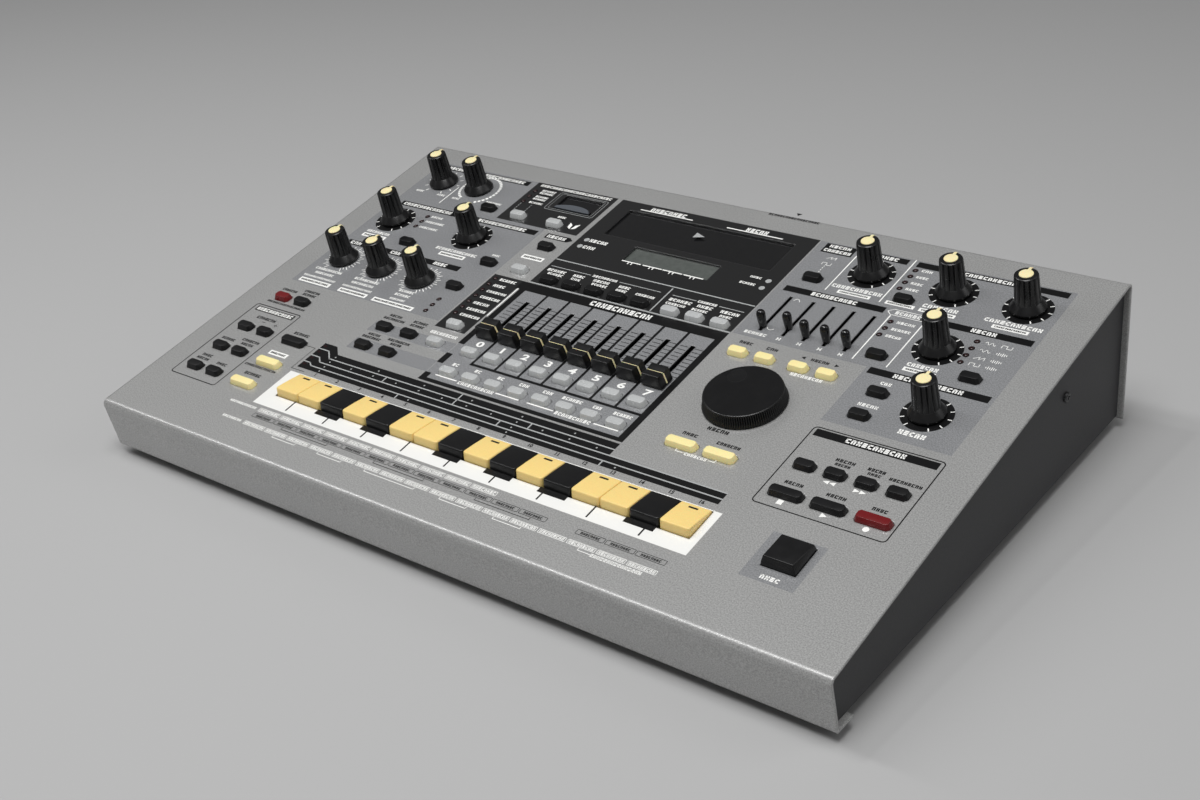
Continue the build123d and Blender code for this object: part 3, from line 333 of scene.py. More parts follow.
class DrumMachineColours(bpy.types.PropertyGroup):
    """Colours of the paints, inks and mouldings, as sRGB hex values."""

    panel: bpy.props.StringProperty(name="Panel", description="Top panel paint", default="a7a7a6")
    field: bpy.props.StringProperty(name="Fields", description="Darker fields", default="858688")
    case: bpy.props.StringProperty(name="Case", description="Tray paint", default="303032")
    black: bpy.props.StringProperty(name="Black", description="Black mouldings", default="131314")
    cream: bpy.props.StringProperty(name="Cream", description="Cream note keys", default="f6d788")
    cap: bpy.props.StringProperty(name="Cap", description="Cream push caps", default="f8e9a8")
    ivory: bpy.props.StringProperty(name="Ivory", description="Knob tips", default="f7e9b6")
    red: bpy.props.StringProperty(name="Red", description="Red push caps", default="6e1418")
    frosted: bpy.props.StringProperty(name="Frosted", description="Clear caps", default="c6c8c8")
    white_ink: bpy.props.StringProperty(name="White ink", description="Prints", default="f6f6f3")
    black_ink: bpy.props.StringProperty(name="Black ink", description="Prints", default="0d0d0e")
    glass: bpy.props.StringProperty(name="Display", description="Crystal window", default="545855")


def sizes():
    """The sizes as they stand in the scene."""
    return bpy.context.scene.drum_machine_sizes


def colours():
    """The colours as they stand in the scene."""
    return bpy.context.scene.drum_machine_colours


# ---------------------------------------------------------------- materials


def hex_linear(code):
    """An sRGB hex colour as linear red, green, blue and alpha."""
    channels = [int(code[index:index + 2], 16) / 255 for index in (0, 2, 4)]
    linear = [c / 12.92 if c <= 0.04045 else ((c + 0.055) / 1.055) ** 2.4 for c in channels]
    return (*linear, 1.0)


def add(tree, kind, inputs=None, **settings):
    """Add a node with its settings; an input is either a value or the socket it is fed from."""
    node = tree.nodes.new(kind)
    for name, value in settings.items():
        setattr(node, name, value)
    for key, value in (inputs or {}).items():
        if isinstance(value, bpy.types.NodeSocket):
            tree.links.new(value, node.inputs[key])
        else:
            node.inputs[key].default_value = value
    return node


def new_material(name, **sockets):
    """A material's tree and its one shader, with the shader's plain values set."""
    material = bpy.data.materials.new(name)
    material.use_nodes = True
    tree = material.node_tree
    tree.nodes.clear()
    shader = add(tree, "ShaderNodeBsdfPrincipled", sockets)
    add(tree, "ShaderNodeOutputMaterial", {"Surface": shader.outputs["BSDF"]})
    return tree, shader


def object_place(tree):
    """Object coordinates in millimetres."""
    place = add(tree, "ShaderNodeTexCoord").outputs["Object"]
    return add(
        tree, "ShaderNodeMapping", {"Vector": place, "Scale": (1 / MM, 1 / MM, 1 / MM)}
    ).outputs["Vector"]


def panel_place(tree):
    """Object coordinates turned into panel millimetres: u, v and height above the face."""
    place = add(tree, "ShaderNodeTexCoord").outputs["Object"]
    return add(
        tree, "ShaderNodeMapping",
        {"Vector": place, "Location": PANEL_ORIGIN, "Rotation": (SLOPE, 0, 0),
         "Scale": (MM, MM, MM)},
        vector_type="TEXTURE",
    ).outputs["Vector"]


def grain(tree, place, per_mm, detail=2.0):
    """Fine noise with this many grains to a millimetre."""
    return add(
        tree, "ShaderNodeTexNoise",
        {"Vector": place, "Scale": per_mm, "Detail": detail, "Roughness": 0.6},
    ).outputs["Fac"]


def tint(tree, fac, low, high, dark, light):
    """Turn noise into a colour between two hex values."""
    ramp = add(tree, "ShaderNodeMapRange", {"Value": fac, "From Min": low, "From Max": high})
    return blend_colour(tree, ramp.outputs["Result"], hex_linear(dark), hex_linear(light))


def speckle(tree, shader, place, per_mm, dark, light, low=0.3, detail=2.0):
    """Let the base colour wander between two hex values; gives the noise that it follows."""
    noise = grain(tree, place, per_mm, detail)
    tree.links.new(tint(tree, noise, low, 0.7, dark, light), shader.inputs["Base Color"])
    return noise


def blend_colour(tree, fac, below, above):
    """Lay one colour over another where fac is one."""
    mixed = add(tree, "ShaderNodeMix", {"Factor": fac}, data_type="RGBA")
    colour_in = [s for s in mixed.inputs if s.type == "RGBA"]
    for socket, value in zip(colour_in, (below, above)):
        if isinstance(value, bpy.types.NodeSocket):
            tree.links.new(value, socket)
        else:
            socket.default_value = value
    return [s for s in mixed.outputs if s.type == "RGBA"][0]


def fine_bump(tree, shader, height, depth_mm, strength, soft_edge=0.0):
    """Roughen the surface by a height in millimetres, over softened edges if asked."""
    bump = add(
        tree, "ShaderNodeBump",
        {"Height": height, "Distance": depth_mm * MM, "Strength": strength},
    )
    if soft_edge:
        edge = add(tree, "ShaderNodeBevel", {"Radius": soft_edge * MM}, samples=6)
        tree.links.new(edge.outputs["Normal"], bump.inputs["Normal"])
        tree.links.new(edge.outputs["Normal"], shader.inputs["Coat Normal"])
    tree.links.new(bump.outputs["Normal"], shader.inputs["Normal"])


def shade(code, amount):
    """A hex colour made lighter or darker by a share."""
    channels = [int(code[index:index + 2], 16) for index in (0, 2, 4)]
    return "".join(f"{max(0, min(255, round(c * (1 + amount)))):02x}" for c in channels)


def field_mask(tree, place, boxes, height=0.0, reach=0.4, soft=0.12):
    """One inside any of these panel boxes and within reach of a height, zero elsewhere."""
    total = None
    for u0, u1, v0, v1 in boxes:
        middle = ((u0 + u1) / 2, (v0 + v1) / 2, height)
        half = ((u1 - u0) / 2, (v1 - v0) / 2, reach)
        away = place
        for operation, *other in (("SUBTRACT", middle), ("ABSOLUTE",), ("SUBTRACT", half)):
            away = add(
                tree, "ShaderNodeVectorMath", dict(enumerate((away, *other))),
                operation=operation,
            ).outputs[0]
        far, *others = add(tree, "ShaderNodeSeparateXYZ", {0: away}).outputs
        for other in others:
            far = add(tree, "ShaderNodeMath", {0: far, 1: other}, operation="MAXIMUM").outputs[0]
        inside = add(
            tree, "ShaderNodeMapRange", {"Value": far, "From Min": soft, "From Max": -soft}
        ).outputs["Result"]
        if total is not None:
            inside = add(
                tree, "ShaderNodeMath", {0: inside, 1: total}, operation="MAXIMUM"
            ).outputs[0]
        total = inside
    return total


def panel_paint():
    """Baked metallic-grey enamel on steel: a fine speckle of flake, satin, with inked fields and
    painted shade in its holes.
    """
    tree, shader = new_material(
        "silver enamel with inked fields",
        **{"IOR": 1.5, "Metallic": 0.3, "Roughness": 0.36, "Coat Weight": 1.0,
           "Coat Roughness": 0.18},
    )
    place = panel_place(tree)
    c = colours()
    # Real flakes are under 0.1 mm; they are drawn at about 0.7 mm, so that they show.
    flake = grain(tree, place, 1.5)
    silver = tint(tree, flake, 0.35, 0.65, shade(c.panel, -0.17), shade(c.panel, 0.17))
    cloud = grain(tree, place, 0.02, 1.0)
    broad = tint(tree, cloud, 0.3, 0.7, shade(c.panel, -0.02), shade(c.panel, 0.03))
    colour = blend_colour(tree, 0.35, silver, broad)
    field = tint(tree, flake, 0.35, 0.65, shade(c.field, -0.12), shade(c.field, 0.12))
    for mask, laid in (
        (field_mask(tree, place, GREY_FIELDS), field),
        (field_mask(tree, place, BLACK_FIELDS), hex_linear(c.black_ink)),
        (field_mask(tree, place, WHITE_FIELDS), hex_linear(c.white_ink)),
        # The cut walls of the punched holes, and the sheet's underside next to them, are painted
        # dark as painted shade, so the holes look deep in shadow.
        (field_mask(tree, place, PAINTED_HOLE_SHADE, -1.5, 1.3), hex_linear(shade(c.case, -0.5))),
    ):
        colour = blend_colour(tree, mask, colour, laid)
    tree.links.new(colour, shader.inputs["Base Color"])
    # Ink has no flake in it, so it loses the metal.
    inked = field_mask(tree, place, GREY_FIELDS + BLACK_FIELDS + WHITE_FIELDS)
    metal = add(tree, "ShaderNodeMapRange", {"Value": inked, "To Min": 0.3, "To Max": 0.0})
    tree.links.new(metal.outputs["Result"], shader.inputs["Metallic"])
    fine_bump(tree, shader, flake, 0.02, 0.5, 1.5)


def tray_paint():
    """Textured powder coat on steel: near black, with a fine orange peel that breaks the gloss."""
    tree, shader = new_material("dark powder coat", **{"IOR": 1.5, "Roughness": 0.55})
    case = colours().case
    # The peel of such a coat is about 0.6 mm from crest to crest.
    peel = speckle(
        tree, shader, object_place(tree), 1.6, shade(case, -0.1), shade(case, 0.12), detail=3.0
    )
    fine_bump(tree, shader, peel, 0.06, 0.6)


def moulding(name, colour, roughness, texture_mm=0.02, spread=0.06, **sockets):
    """Moulded ABS with a spark-eroded grain: even colour, soft sheen, a little uneven gloss."""
    tree, shader = new_material(name, **{"IOR": 1.53, "Roughness": roughness, **sockets})
    place = object_place(tree)
    # Real spark grain is about 0.1 mm; it is drawn at 0.3 mm, so that it shows.
    noise = speckle(tree, shader, place, 3.0, shade(colour, -spread), shade(colour, spread))
    uneven = add(
        tree, "ShaderNodeMapRange",
        {"Value": grain(tree, place, 0.15), "From Min": 0.3, "From Max": 0.7,
         "To Min": roughness - 0.05, "To Max": roughness + 0.05},
    )
    tree.links.new(uneven.outputs["Result"], shader.inputs["Roughness"])
    fine_bump(tree, shader, noise, texture_mm, 0.5)


def frosted_acrylic():
    """Milky acrylic caps lit from below: light passes in and scatters, the skin is satin."""
    moulding(
        "frosted acrylic cap", colours().frosted, 0.26, spread=0.05,
        **{"Subsurface Weight": 0.15, "Subsurface Radius": (1.0, 1.0, 1.0),
           "Subsurface Scale": 0.001, "Transmission Weight": 0.12, "Coat Weight": 0.6},
    )


def ink(name, colour, roughness=0.45):
    """Screen-printed ink: flat and even, a touch rough, with a barely seen mottle."""
    tree, shader = new_material(
        name, **{"IOR": 1.48, "Roughness": roughness, "Specular IOR Level": 0.3}
    )
    speckle(tree, shader, object_place(tree), 1.5, shade(colour, -0.03), shade(colour, 0.03))


def display_panes():
    """Display panes: grey-green crystal window, smoked acrylic over the digits, blue-grey lens."""
    tree, shader = new_material(
        "acrylic display panes", **{"IOR": 1.49, "Roughness": 0.16, "Coat Weight": 0.4}
    )
    place = panel_place(tree)
    mottle = grain(tree, place, 0.35)
    glass = colours().glass
    crystal = tint(tree, mottle, 0.3, 0.7, shade(glass, -0.05), shade(glass, 0.06))
    smoked = tint(tree, mottle, 0.3, 0.7, "121213", "151516")
    off = add(tree, "ShaderNodeVectorMath", {0: place, 1: LENS_PLACE}, operation="SUBTRACT")
    ratio = add(
        tree, "ShaderNodeVectorMath", {0: off.outputs[0], 1: LENS_REACH}, operation="DIVIDE"
    )
    away = add(tree, "ShaderNodeVectorMath", {0: ratio.outputs[0]}, operation="LENGTH")
    lens = tint(tree, away.outputs["Value"], 0.93, 1.0, "565a60", "101012")
    colour = blend_colour(tree, past(tree, place, 1, DIGITS_START_V), crystal, smoked)
    colour = blend_colour(tree, past(tree, place, 0, LENS_END_U), lens, colour)
    tree.links.new(colour, shader.inputs["Base Color"])


def past(tree, place, axis, line):
    """One beyond this line along u (axis 0) or v (axis 1), zero before it."""
    parts = add(tree, "ShaderNodeSeparateXYZ", {0: place}).outputs
    return add(
        tree, "ShaderNodeMath", {0: parts[axis], 1: line}, operation="GREATER_THAN"
    ).outputs[0]


def led_lens():
    """Unlit red light-emitting diode: a small dark red epoxy dome with a hard gloss."""
    moulding("unlit red diode lens", "2a1415", 0.15, texture_mm=0.0, spread=0.1)


def blackened_steel():
    """Black-oxide steel screws: dark metal with worn, uneven gloss."""
    tree, shader = new_material(
        "black oxide screw steel", **{"Metallic": 0.85, "Roughness": 0.4}
    )
    speckle(tree, shader, object_place(tree), 1.2, "2c2c2d", "727273", low=0.35)


def nickel_plate():
    """Nickel-plated brass nuts: bright, slightly warm, with fine turning marks."""
    tree, shader = new_material("nickel plated nut", **{"Metallic": 1.0, "Roughness": 0.28})
    speckle(tree, shader, object_place(tree), 6.0, "b8b4ac", "d2cec6")


def circuit_board():
    """Glass-fibre board under green solder mask: satin, with faint weave."""
    tree, shader = new_material("green solder mask", **{"IOR": 1.5, "Roughness": 0.35})
    speckle(tree, shader, object_place(tree), 0.8, "173a28", "1f4a33")


def foot_rubber():
    """Moulded rubber feet: matt black with a dusty bloom."""
    moulding("moulded foot rubber", "1c1c1c", 0.8, texture_mm=0.05, spread=0.2)


def make_materials():
    """Every finish of the object."""
    c = colours()
    panel_paint()
    tray_paint()
    # Satin black: keys, caps and faders lose their gloss to the grain, knobs a little less.
    moulding("satin black moulding", c.black, 0.34, **{"Specular IOR Level": 0.35})
    moulding("knob black moulding", shade(c.black, -0.1), 0.3, spread=0.08)
    # Polished black: pins and the dial's disc show small sharp highlights.
    moulding("gloss black stem", shade(c.black, -0.2), 0.1, texture_mm=0.0)
    moulding("gloss black dial", shade(c.black, -0.1), 0.22, texture_mm=0.004)
    # Pale ABS lets a little light in, so its edges glow warm and its shadows stay soft.
    for name, colour, roughness, spread, weight, depth in (
        ("cream key moulding", c.cream, 0.4, 0.025, 0.08, 0.002),
        ("cream cap moulding", c.cap, 0.38, 0.02, 0.12, 0.002),
        ("ivory tip moulding", c.ivory, 0.35, 0.02, 0.1, 0.001),
    ):
        moulding(name, colour, roughness, spread=spread, **{
            "Subsurface Weight": weight, "Subsurface Scale": depth})
    moulding("red cap moulding", c.red, 0.3)
    # Plain matt mouldings of sockets and control bodies.
    moulding("socket black moulding", "161617", 0.5)
    moulding("control body moulding", "3a3a3c", 0.5)
    frosted_acrylic()
    ink("white panel ink", c.white_ink)
    ink("black panel ink", c.black_ink, 0.4)
    ink("grey panel ink", "a9abab")
    ink("dark lettering ink", "19191a")
    for make in (
        display_panes, led_lens, blackened_steel, nickel_plate, circuit_board, foot_rubber
    ):
        make()


def finish_named(name):
    """The finish of this name."""
    material = bpy.data.materials.get(name)
    if material is None:
        raise RuntimeError(f"make the finishes first: there is none named {name}")
    return material


# ---------------------------------------------------------------- making pieces


def placed(name, data):
    """A new object in the scene."""
    made = bpy.data.objects.new(name, data)
    bpy.context.scene.collection.objects.link(made)
    return made


def mesh_from(form, name):
    """Turn an edited form into a mesh and let the form go."""
    mesh = bpy.data.meshes.new(name)
    form.normal_update()
    form.to_mesh(mesh)
    form.free()
    return mesh


def scratch(name, source):
    """A helper object that only lends its mesh to others."""
    if isinstance(source, bmesh.types.BMesh):
        source = mesh_from(source, name)
    return placed(name, source)


def discard(*helpers):
    """Take helper objects out of the file."""
    for helper in helpers:
        bpy.data.objects.remove(helper)


def smooth(mesh, angle=35.0):
    """Shade a mesh round, except over edges sharper than the angle."""
    for face in mesh.polygons:
        face.use_smooth = True
    mesh.set_sharp_from_angle(angle=radians(angle))
    return mesh


def grown(base, tree, values):
    """Run a node tree on a helper and give its result as a plain mesh."""
    modifier = base.modifiers.new(tree.name, "NODES")
    modifier.node_group = tree
    for item in tree.interface.items_tree:
        if item.in_out == "INPUT" and item.name in values:
            modifier[item.identifier] = values[item.name]
    bpy.context.view_layer.update()
    graph = bpy.context.evaluated_depsgraph_get()
    mesh = bpy.data.meshes.new_from_object(base.evaluated_get(graph), depsgraph=graph)
    base.modifiers.remove(modifier)
    mesh.materials.clear()
    mesh.materials.append(values["Material"])
    for face in mesh.polygons:
        face.material_index = 0
    return mesh


def piece(name, mesh, finish, body, carry=PANEL, replaces=(), slot=None):
    """A finished piece: its place goes into its mesh, and it rides on its body."""
    if isinstance(mesh, bmesh.types.BMesh):
        mesh = mesh_from(mesh, name)
    mesh.name = name
    mesh.transform(carry)
    if not mesh.materials:
        mesh.materials.append(finish_named(finish))
    slot = slot or SLOTS[finish]
    made = placed(name, mesh)
    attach(made, body)
    if replaces:
        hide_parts(*replaces)


def at(u, v, h=0.0):
    """A shift to a place on the panel."""
    return Matrix.Translation((u, v, h))


def circle(radius, segments, h=0.0):
    """The points of a circle about the vertical axis."""
    steps = (index * 2 * pi / segments for index in range(segments))
    return [(radius * cos(a), radius * sin(a), h) for a in steps]


def stitch(form, lower, upper):
    """Close the band between two loops of as many points."""
    for index in range(len(lower)):
        after = (index + 1) % len(lower)
        form.faces.new([lower[index], lower[after], upper[after], upper[index]])


def lathe(profile, segments):
    """Turn a profile of (radius, height) about the vertical axis; a radius of 0 is a point."""
    form = bmesh.new()
    rings = [
        [form.verts.new(point) for point in (
            circle(radius, segments, height) if radius else [(0, 0, height)]
        )]
        for radius, height in profile
    ]
    for lower, upper in zip(rings, rings[1:]):
        for index in range(segments):
            after = (index + 1) % segments
            corners = [
                lower[index % len(lower)], lower[after % len(lower)],
                upper[after % len(upper)], upper[index % len(upper)],
            ]
            unique = list(dict.fromkeys(corners))
            if len(unique) > 2:
                form.faces.new(unique)
    bmesh.ops.recalc_face_normals(form, faces=form.faces)
    return form


def loft_loops(loops):
    """A closed solid through loops with the same number of points, capped at both ends."""
    form = bmesh.new()
    rings = [[form.verts.new(point) for point in loop] for loop in loops]
    for lower, upper in zip(rings, rings[1:]):
        stitch(form, lower, upper)
    form.faces.new(list(reversed(rings[0])))
    form.faces.new(rings[-1])
    bmesh.ops.recalc_face_normals(form, faces=form.faces)
    return form


def rounded(form, radius, segments, angle):
    """Round every edge that is sharper than the angle."""
    edges = [
        edge for edge in form.edges
        if len(edge.link_faces) == 2 and edge.calc_face_angle(0.0) > radians(angle)
    ]
    bmesh.ops.bevel(
        form, geom=edges, offset=radius, segments=segments, profile=0.5,
        affect="EDGES", clamp_overlap=True,
    )
    return form


def eight_sided(width, h, shrink=0.0):
    """The outline of a push cap at one height."""
    x = width / 2 - shrink
    y = CAP_LENGTH / 2 - shrink
    c = CAP_CORNER - shrink * 0.4
    return [
        (-x + c, -y, h), (x - c, -y, h), (x, -y + c, h), (x, y - c, h),
        (x - c, y, h), (-x + c, y, h), (-x, y - c, h), (-x, -y + c, h),
    ]


# ---------------------------------------------------------------- node trees for what repeats


def tree_with(name, sockets):
    """An empty node tree with these inputs and one geometry output."""
    tree = bpy.data.node_groups.new(name, "GeometryNodeTree")
    for label, kind, default in sockets:
        socket = tree.interface.new_socket(label, in_out="INPUT", socket_type=kind)
        if default is not None:
            socket.default_value = default
    tree.interface.new_socket("Geometry", in_out="OUTPUT", socket_type="NodeSocketGeometry")
    return tree, add(tree, "NodeGroupInput").outputs


def close_tree(tree, geometry, material):
    """Realize the instances and set their material."""
    real = add(tree, "GeometryNodeRealizeInstances", {"Geometry": geometry})
    set_to = add(
        tree, "GeometryNodeSetMaterial", {"Geometry": real.outputs[0], "Material": material}
    )
    add(tree, "NodeGroupOutput", {"Geometry": set_to.outputs[0]})
    return tree


def places_tree(name):
    """One copy of a piece on each point, turned by the point's own value."""
    tree, given = tree_with(name, [
        ("Places", "NodeSocketGeometry", None),
        ("Piece", "NodeSocketObject", None),
        ("Material", "NodeSocketMaterial", None),
    ])
    lent = add(tree, "GeometryNodeObjectInfo", {"Object": given["Piece"]})
    turn = add(tree, "GeometryNodeInputNamedAttribute", {"Name": "turn"}, data_type="FLOAT_VECTOR")
    copies = add(
        tree, "GeometryNodeInstanceOnPoints",
        {"Points": given["Places"], "Instance": lent.outputs["Geometry"],
         "Rotation": turn.outputs["Attribute"]},
    )
    return close_tree(tree, copies.outputs[0], given["Material"])


def around_tree(name):
    """Copies of a piece turned about the axis, each longer than the last by a share."""
    tree, given = tree_with(name, [
        ("Places", "NodeSocketGeometry", None),
        ("Piece", "NodeSocketObject", None),
        ("Count", "NodeSocketInt", 12),
        ("Start", "NodeSocketFloat", 0.0),
        ("Step", "NodeSocketFloat", 0.5),
        ("Growth", "NodeSocketFloat", 0.0),
        ("Material", "NodeSocketMaterial", None),
    ])
    points = add(tree, "GeometryNodePoints", {"Count": given["Count"]})
    index = add(tree, "GeometryNodeInputIndex").outputs[0]
    turned, longer = (
        add(
            tree, "ShaderNodeMath", {0: index, 1: share, 2: first}, operation="MULTIPLY_ADD"
        ).outputs[0]
        for share, first in ((given["Step"], given["Start"]), (given["Growth"], 1.0))
    )
    lent = add(tree, "GeometryNodeObjectInfo", {"Object": given["Piece"]})
    turn = add(tree, "ShaderNodeCombineXYZ", {2: turned})
    scale = add(tree, "ShaderNodeCombineXYZ", {0: 1.0, 1: longer, 2: 1.0})
    copies = add(
        tree, "GeometryNodeInstanceOnPoints",
        {"Points": points.outputs[0], "Instance": lent.outputs["Geometry"],
         "Rotation": turn.outputs[0], "Scale": scale.outputs[0]},
    )
    return close_tree(tree, copies.outputs[0], given["Material"])


def fluted_tree(name):
    """Press grooves into a turned form between two heights."""
    tree, given = tree_with(name, [
        ("Form", "NodeSocketGeometry", None),
        ("Flutes", "NodeSocketInt", 14),
        ("Depth", "NodeSocketFloat", 0.7),
        ("Sharpness", "NodeSocketFloat", 6.0),
        ("Low", "NodeSocketFloat", 5.0),
        ("High", "NodeSocketFloat", 19.0),
        ("Material", "NodeSocketMaterial", None),
    ])
    where = add(tree, "GeometryNodeInputPosition").outputs[0]
    known = dict(zip("xyz", add(tree, "ShaderNodeSeparateXYZ", {0: where}).outputs))
    for label in ("Flutes", "Depth", "Sharpness", "Low", "High"):
        known[label] = given[label]
    for result, operation, *values in (
        ("angle", "ARCTAN2", "y", "x"),
        ("phase", "MULTIPLY", "angle", "Flutes"),
        ("wave", "COSINE", "phase"),
        ("groove", "MULTIPLY_ADD", "wave", 0.5, 0.5),
        ("narrow", "POWER", "groove", "Sharpness"),
        ("above", "GREATER_THAN", "z", "Low"),
        ("below", "LESS_THAN", "z", "High"),
        ("band", "MULTIPLY", "above", "below"),
        ("deep", "MULTIPLY", "narrow", "Depth"),
        ("kept", "MULTIPLY", "deep", "band"),
        ("inward", "MULTIPLY", "kept", -1.0),
    ):
        inputs = {slot: known.get(value, value) for slot, value in enumerate(values)}
        known[result] = add(tree, "ShaderNodeMath", inputs, operation=operation).outputs[0]
    level = add(tree, "ShaderNodeVectorMath", {0: where, 1: (1, 1, 0)}, operation="MULTIPLY")
    outward = add(tree, "ShaderNodeVectorMath", {0: level.outputs[0]}, operation="NORMALIZE")
    push = add(
        tree, "ShaderNodeVectorMath", {0: outward.outputs[0], "Scale": known["inward"]},
        operation="SCALE",
    )
    moved = add(
        tree, "GeometryNodeSetPosition", {"Geometry": given["Form"], "Offset": push.outputs[0]}
    )
    return close_tree(tree, moved.outputs[0], given["Material"])


def node_tree(name):
    """The tree of this name, built when it is first asked for."""
    makers = {
        "copies on places": places_tree,
        "copies round an axis": around_tree,
        "fluted turning": fluted_tree,
    }
    return bpy.data.node_groups.get(name) or makers[name](name)


def copies_at(name, places, lent, finish):
    """A plain mesh of one helper's copies at (place, turn in degrees) pairs."""
    mesh = bpy.data.meshes.new(name)
    mesh.from_pydata([place for place, _ in places], [], [])
    turns = mesh.attributes.new("turn", "FLOAT_VECTOR", "POINT")
    for index, (_, turn) in enumerate(places):
        turns.data[index].vector = [radians(value) for value in turn]
    base = scratch(name, mesh)
    made = grown(
        base, node_tree("copies on places"), {"Piece": lent, "Material": finish_named(finish)}
    )
    discard(base)
    return made


def copies_of(name, form, places, finish):
    """As copies_at, from a form that is needed only once."""
    lent = scratch(name, form)
    made = copies_at(name, places, lent, finish)
    discard(lent)
    return made


def flat(places):
    """Panel places without a turn."""
    return [((u, v, 0.0), (0.0, 0.0, 0.0)) for u, v in places]


def merged(*meshes):
    """One mesh from several that share a finish."""
    form = bmesh.new()
    for mesh in meshes:
        form.from_mesh(mesh)
    joined = mesh_from(form, "joined")
    joined.materials.append(meshes[0].materials[0])
    return joined


# ---------------------------------------------------------------- forms


def knob_grip():
    """The skirted, fluted grip of one knob as a plain mesh."""
    profile = [
        (0, 0.8), (8.95, 0.8), (9.1, 0.95), (9.1, 1.95), (8.95, 2.15), (6.75, 5.25), (6.6, 5.4),
        (6.5, 8.5), (6.35, 12.0), (6.2, 16.0), (6.05, 19.2), (5.95, 19.95), (5.75, 20.4),
        (5.4, 20.65), (4.9, 20.7), (3.6, 20.7), (3.55, 20.3), (0, 20.3),
    ]
    base = scratch("grip form", lathe(profile, 112))
    s = sizes()
    mesh = grown(
        base, node_tree("fluted turning"),
        {"Flutes": s.flutes, "Depth": s.flute_depth, "Sharpness": 5.0, "Low": 5.4, "High": 20.2,
         "Material": finish_named("knob black moulding")},
    )
    discard(base)
    return smooth(mesh, 27.0)


def knob_tip():
    """The ivory cap in the top of a knob, with the pointer folded over the rear of the grip."""
    form = lathe(
        [(0, 20.4), (3.55, 20.4), (3.55, 20.85), (3.4, 21.05), (3.0, 21.15), (0, 21.2)], 48
    )
    half = 0.75
    line = [(2.6, 21.15), (5.0, 21.0), (6.0, 20.65), (6.5, 19.9), (6.7, 18.7), (6.2, 18.7),
            (5.6, 20.2), (2.6, 20.5)]
    sides = [[form.verts.new((x, y, z)) for y, z in line] for x in (-half, half)]
    stitch(form, *sides)
    for side in sides:
        form.faces.new(side)
    bmesh.ops.recalc_face_normals(form, faces=form.faces)
    return smooth(mesh_from(form, "tip"), 35.0)


def dial_body():
    """The dial's finely ribbed wall and its crown, up to the flat top."""
    profile = [
        (0, 0.8), (21.0, 0.8), (21.1, 0.9), (20.8, 2.0), (20.5, 3.2), (20.25, 4.5), (20.05, 5.8),
        (19.9, 6.5), (19.7, 6.9), (19.4, 7.12), (19.0, 7.2), (18.6, 7.15), (0, 7.0),
    ]
    s = sizes()
    # Four points to a rib are enough to press it.
    base = scratch("dial form", lathe(profile, s.knurl_teeth * 4))
    mesh = grown(
        base, node_tree("fluted turning"),
        {"Flutes": s.knurl_teeth, "Depth": s.knurl_depth, "Sharpness": 1.5, "Low": 0.9,
         "High": 6.9, "Material": finish_named("knob black moulding")},
    )
    discard(base)
    return smooth(mesh, 50.0)


def dial_top():
    """The dial's glossy disc with its finger dimple."""
    rings, segments, radius = 44, 128, 18.9
    form = bmesh.new()
    centre = form.verts.new((0, 0, 0))
    loops = [
        [form.verts.new(point) for point in circle(radius * ring / rings, segments)]
        for ring in range(1, rings + 1)
    ]
    for index in range(segments):
        form.faces.new([centre, loops[0][index], loops[0][(index + 1) % segments]])
    for inner, outer in zip(loops, loops[1:]):
        for index in range(segments):
            after = (index + 1) % segments
            form.faces.new([inner[index], outer[index], outer[after], inner[after]])
    x, y = DIMPLE_PLACE
    for vert in form.verts:
        share = min(1.0, hypot(vert.co.x - x, vert.co.y - y) / DIMPLE_RADIUS)
        vert.co.z = DIAL_TOP_H - DIMPLE_DEPTH * (1 - share * share) ** 2
    return smooth(mesh_from(form, "dial top"), 60.0)


def push_cap(wide):
    """One push cap: eight-sided, straight below, then bevelled up to its flat top."""
    width = 17.7 if wide else 11.1
    loops = [
        eight_sided(width, h, shrink)
        for h, shrink in ((-3.2, 0.0), (-0.1, 0.0), (0.7, 0.2), (2.8, 0.95))
    ]
    return rounded(loft_loops(loops), sizes().cap_rounding, 3, 12.0)


def note_key():
    """One wedge-shaped note key with rounded edges, in panel coordinates about its own middle."""
    half = (KEY_PITCH - KEY_GAP) / 2
    side = [(44.7, KEY_FOOT_H), (44.7, 0.0), (45.9, 4.4), KEY_CREST, KEY_REAR, (63.4, KEY_FOOT_H)]
    form = loft_loops([[(x, v, h) for v, h in side] for x in (-half, half)])
    corners = []
    for edge in form.edges:
        one, other = (vert.co for vert in edge.verts)
        if max(one.y, other.y) < 46 and one.x == other.x and abs(one.z - other.z) > 1:
            corners.append(edge)
    bmesh.ops.bevel(form, geom=corners, offset=1.6, segments=5, profile=0.5, affect="EDGES")
    return rounded(form, sizes().key_rounding, 4, 30.0)


def key_dash():
    """The dark dash near the rear edge of a cream key, a thin raised bar on the sloping top."""
    (v0, h0), (v1, h1) = KEY_CREST, KEY_REAR
    fall = (h1 - h0) / (v1 - v0)
    outline = [(-2.5, 60.1), (2.5, 60.1), (2.5, 61.2), (-2.5, 61.2)]
    return loft_loops([
        [(x, v, h1 + fall * (v - v1) + lift) for x, v in outline] for lift in (-0.3, 0.16)
    ])


def tap_pad_form():
    """The tap pad: straight walls, then bevelled to a top that falls toward the rear."""
    foot = [(-8.6, -8.95), (8.6, -8.95), (8.6, 8.95), (-8.6, 8.95)]
    walls = [[(x, y, h) for x, y in foot] for h in (-5.0, 1.4)]
    top = [(-7.4, -7.8, 5.15), (7.4, -7.8, 5.15), (8.15, 8.45, 3.4), (-8.15, 8.45, 3.4)]
    return rounded(loft_loops(walls + [top]), 0.55, 4, 12.0)


def half_width(h):
    """Half the width of a fader cap at a height."""
    foot_half, top_half, foot_h, rise = 6.5, 4.9, 0.8, 7.2
    return foot_half + (top_half - foot_half) * (h - foot_h) / rise


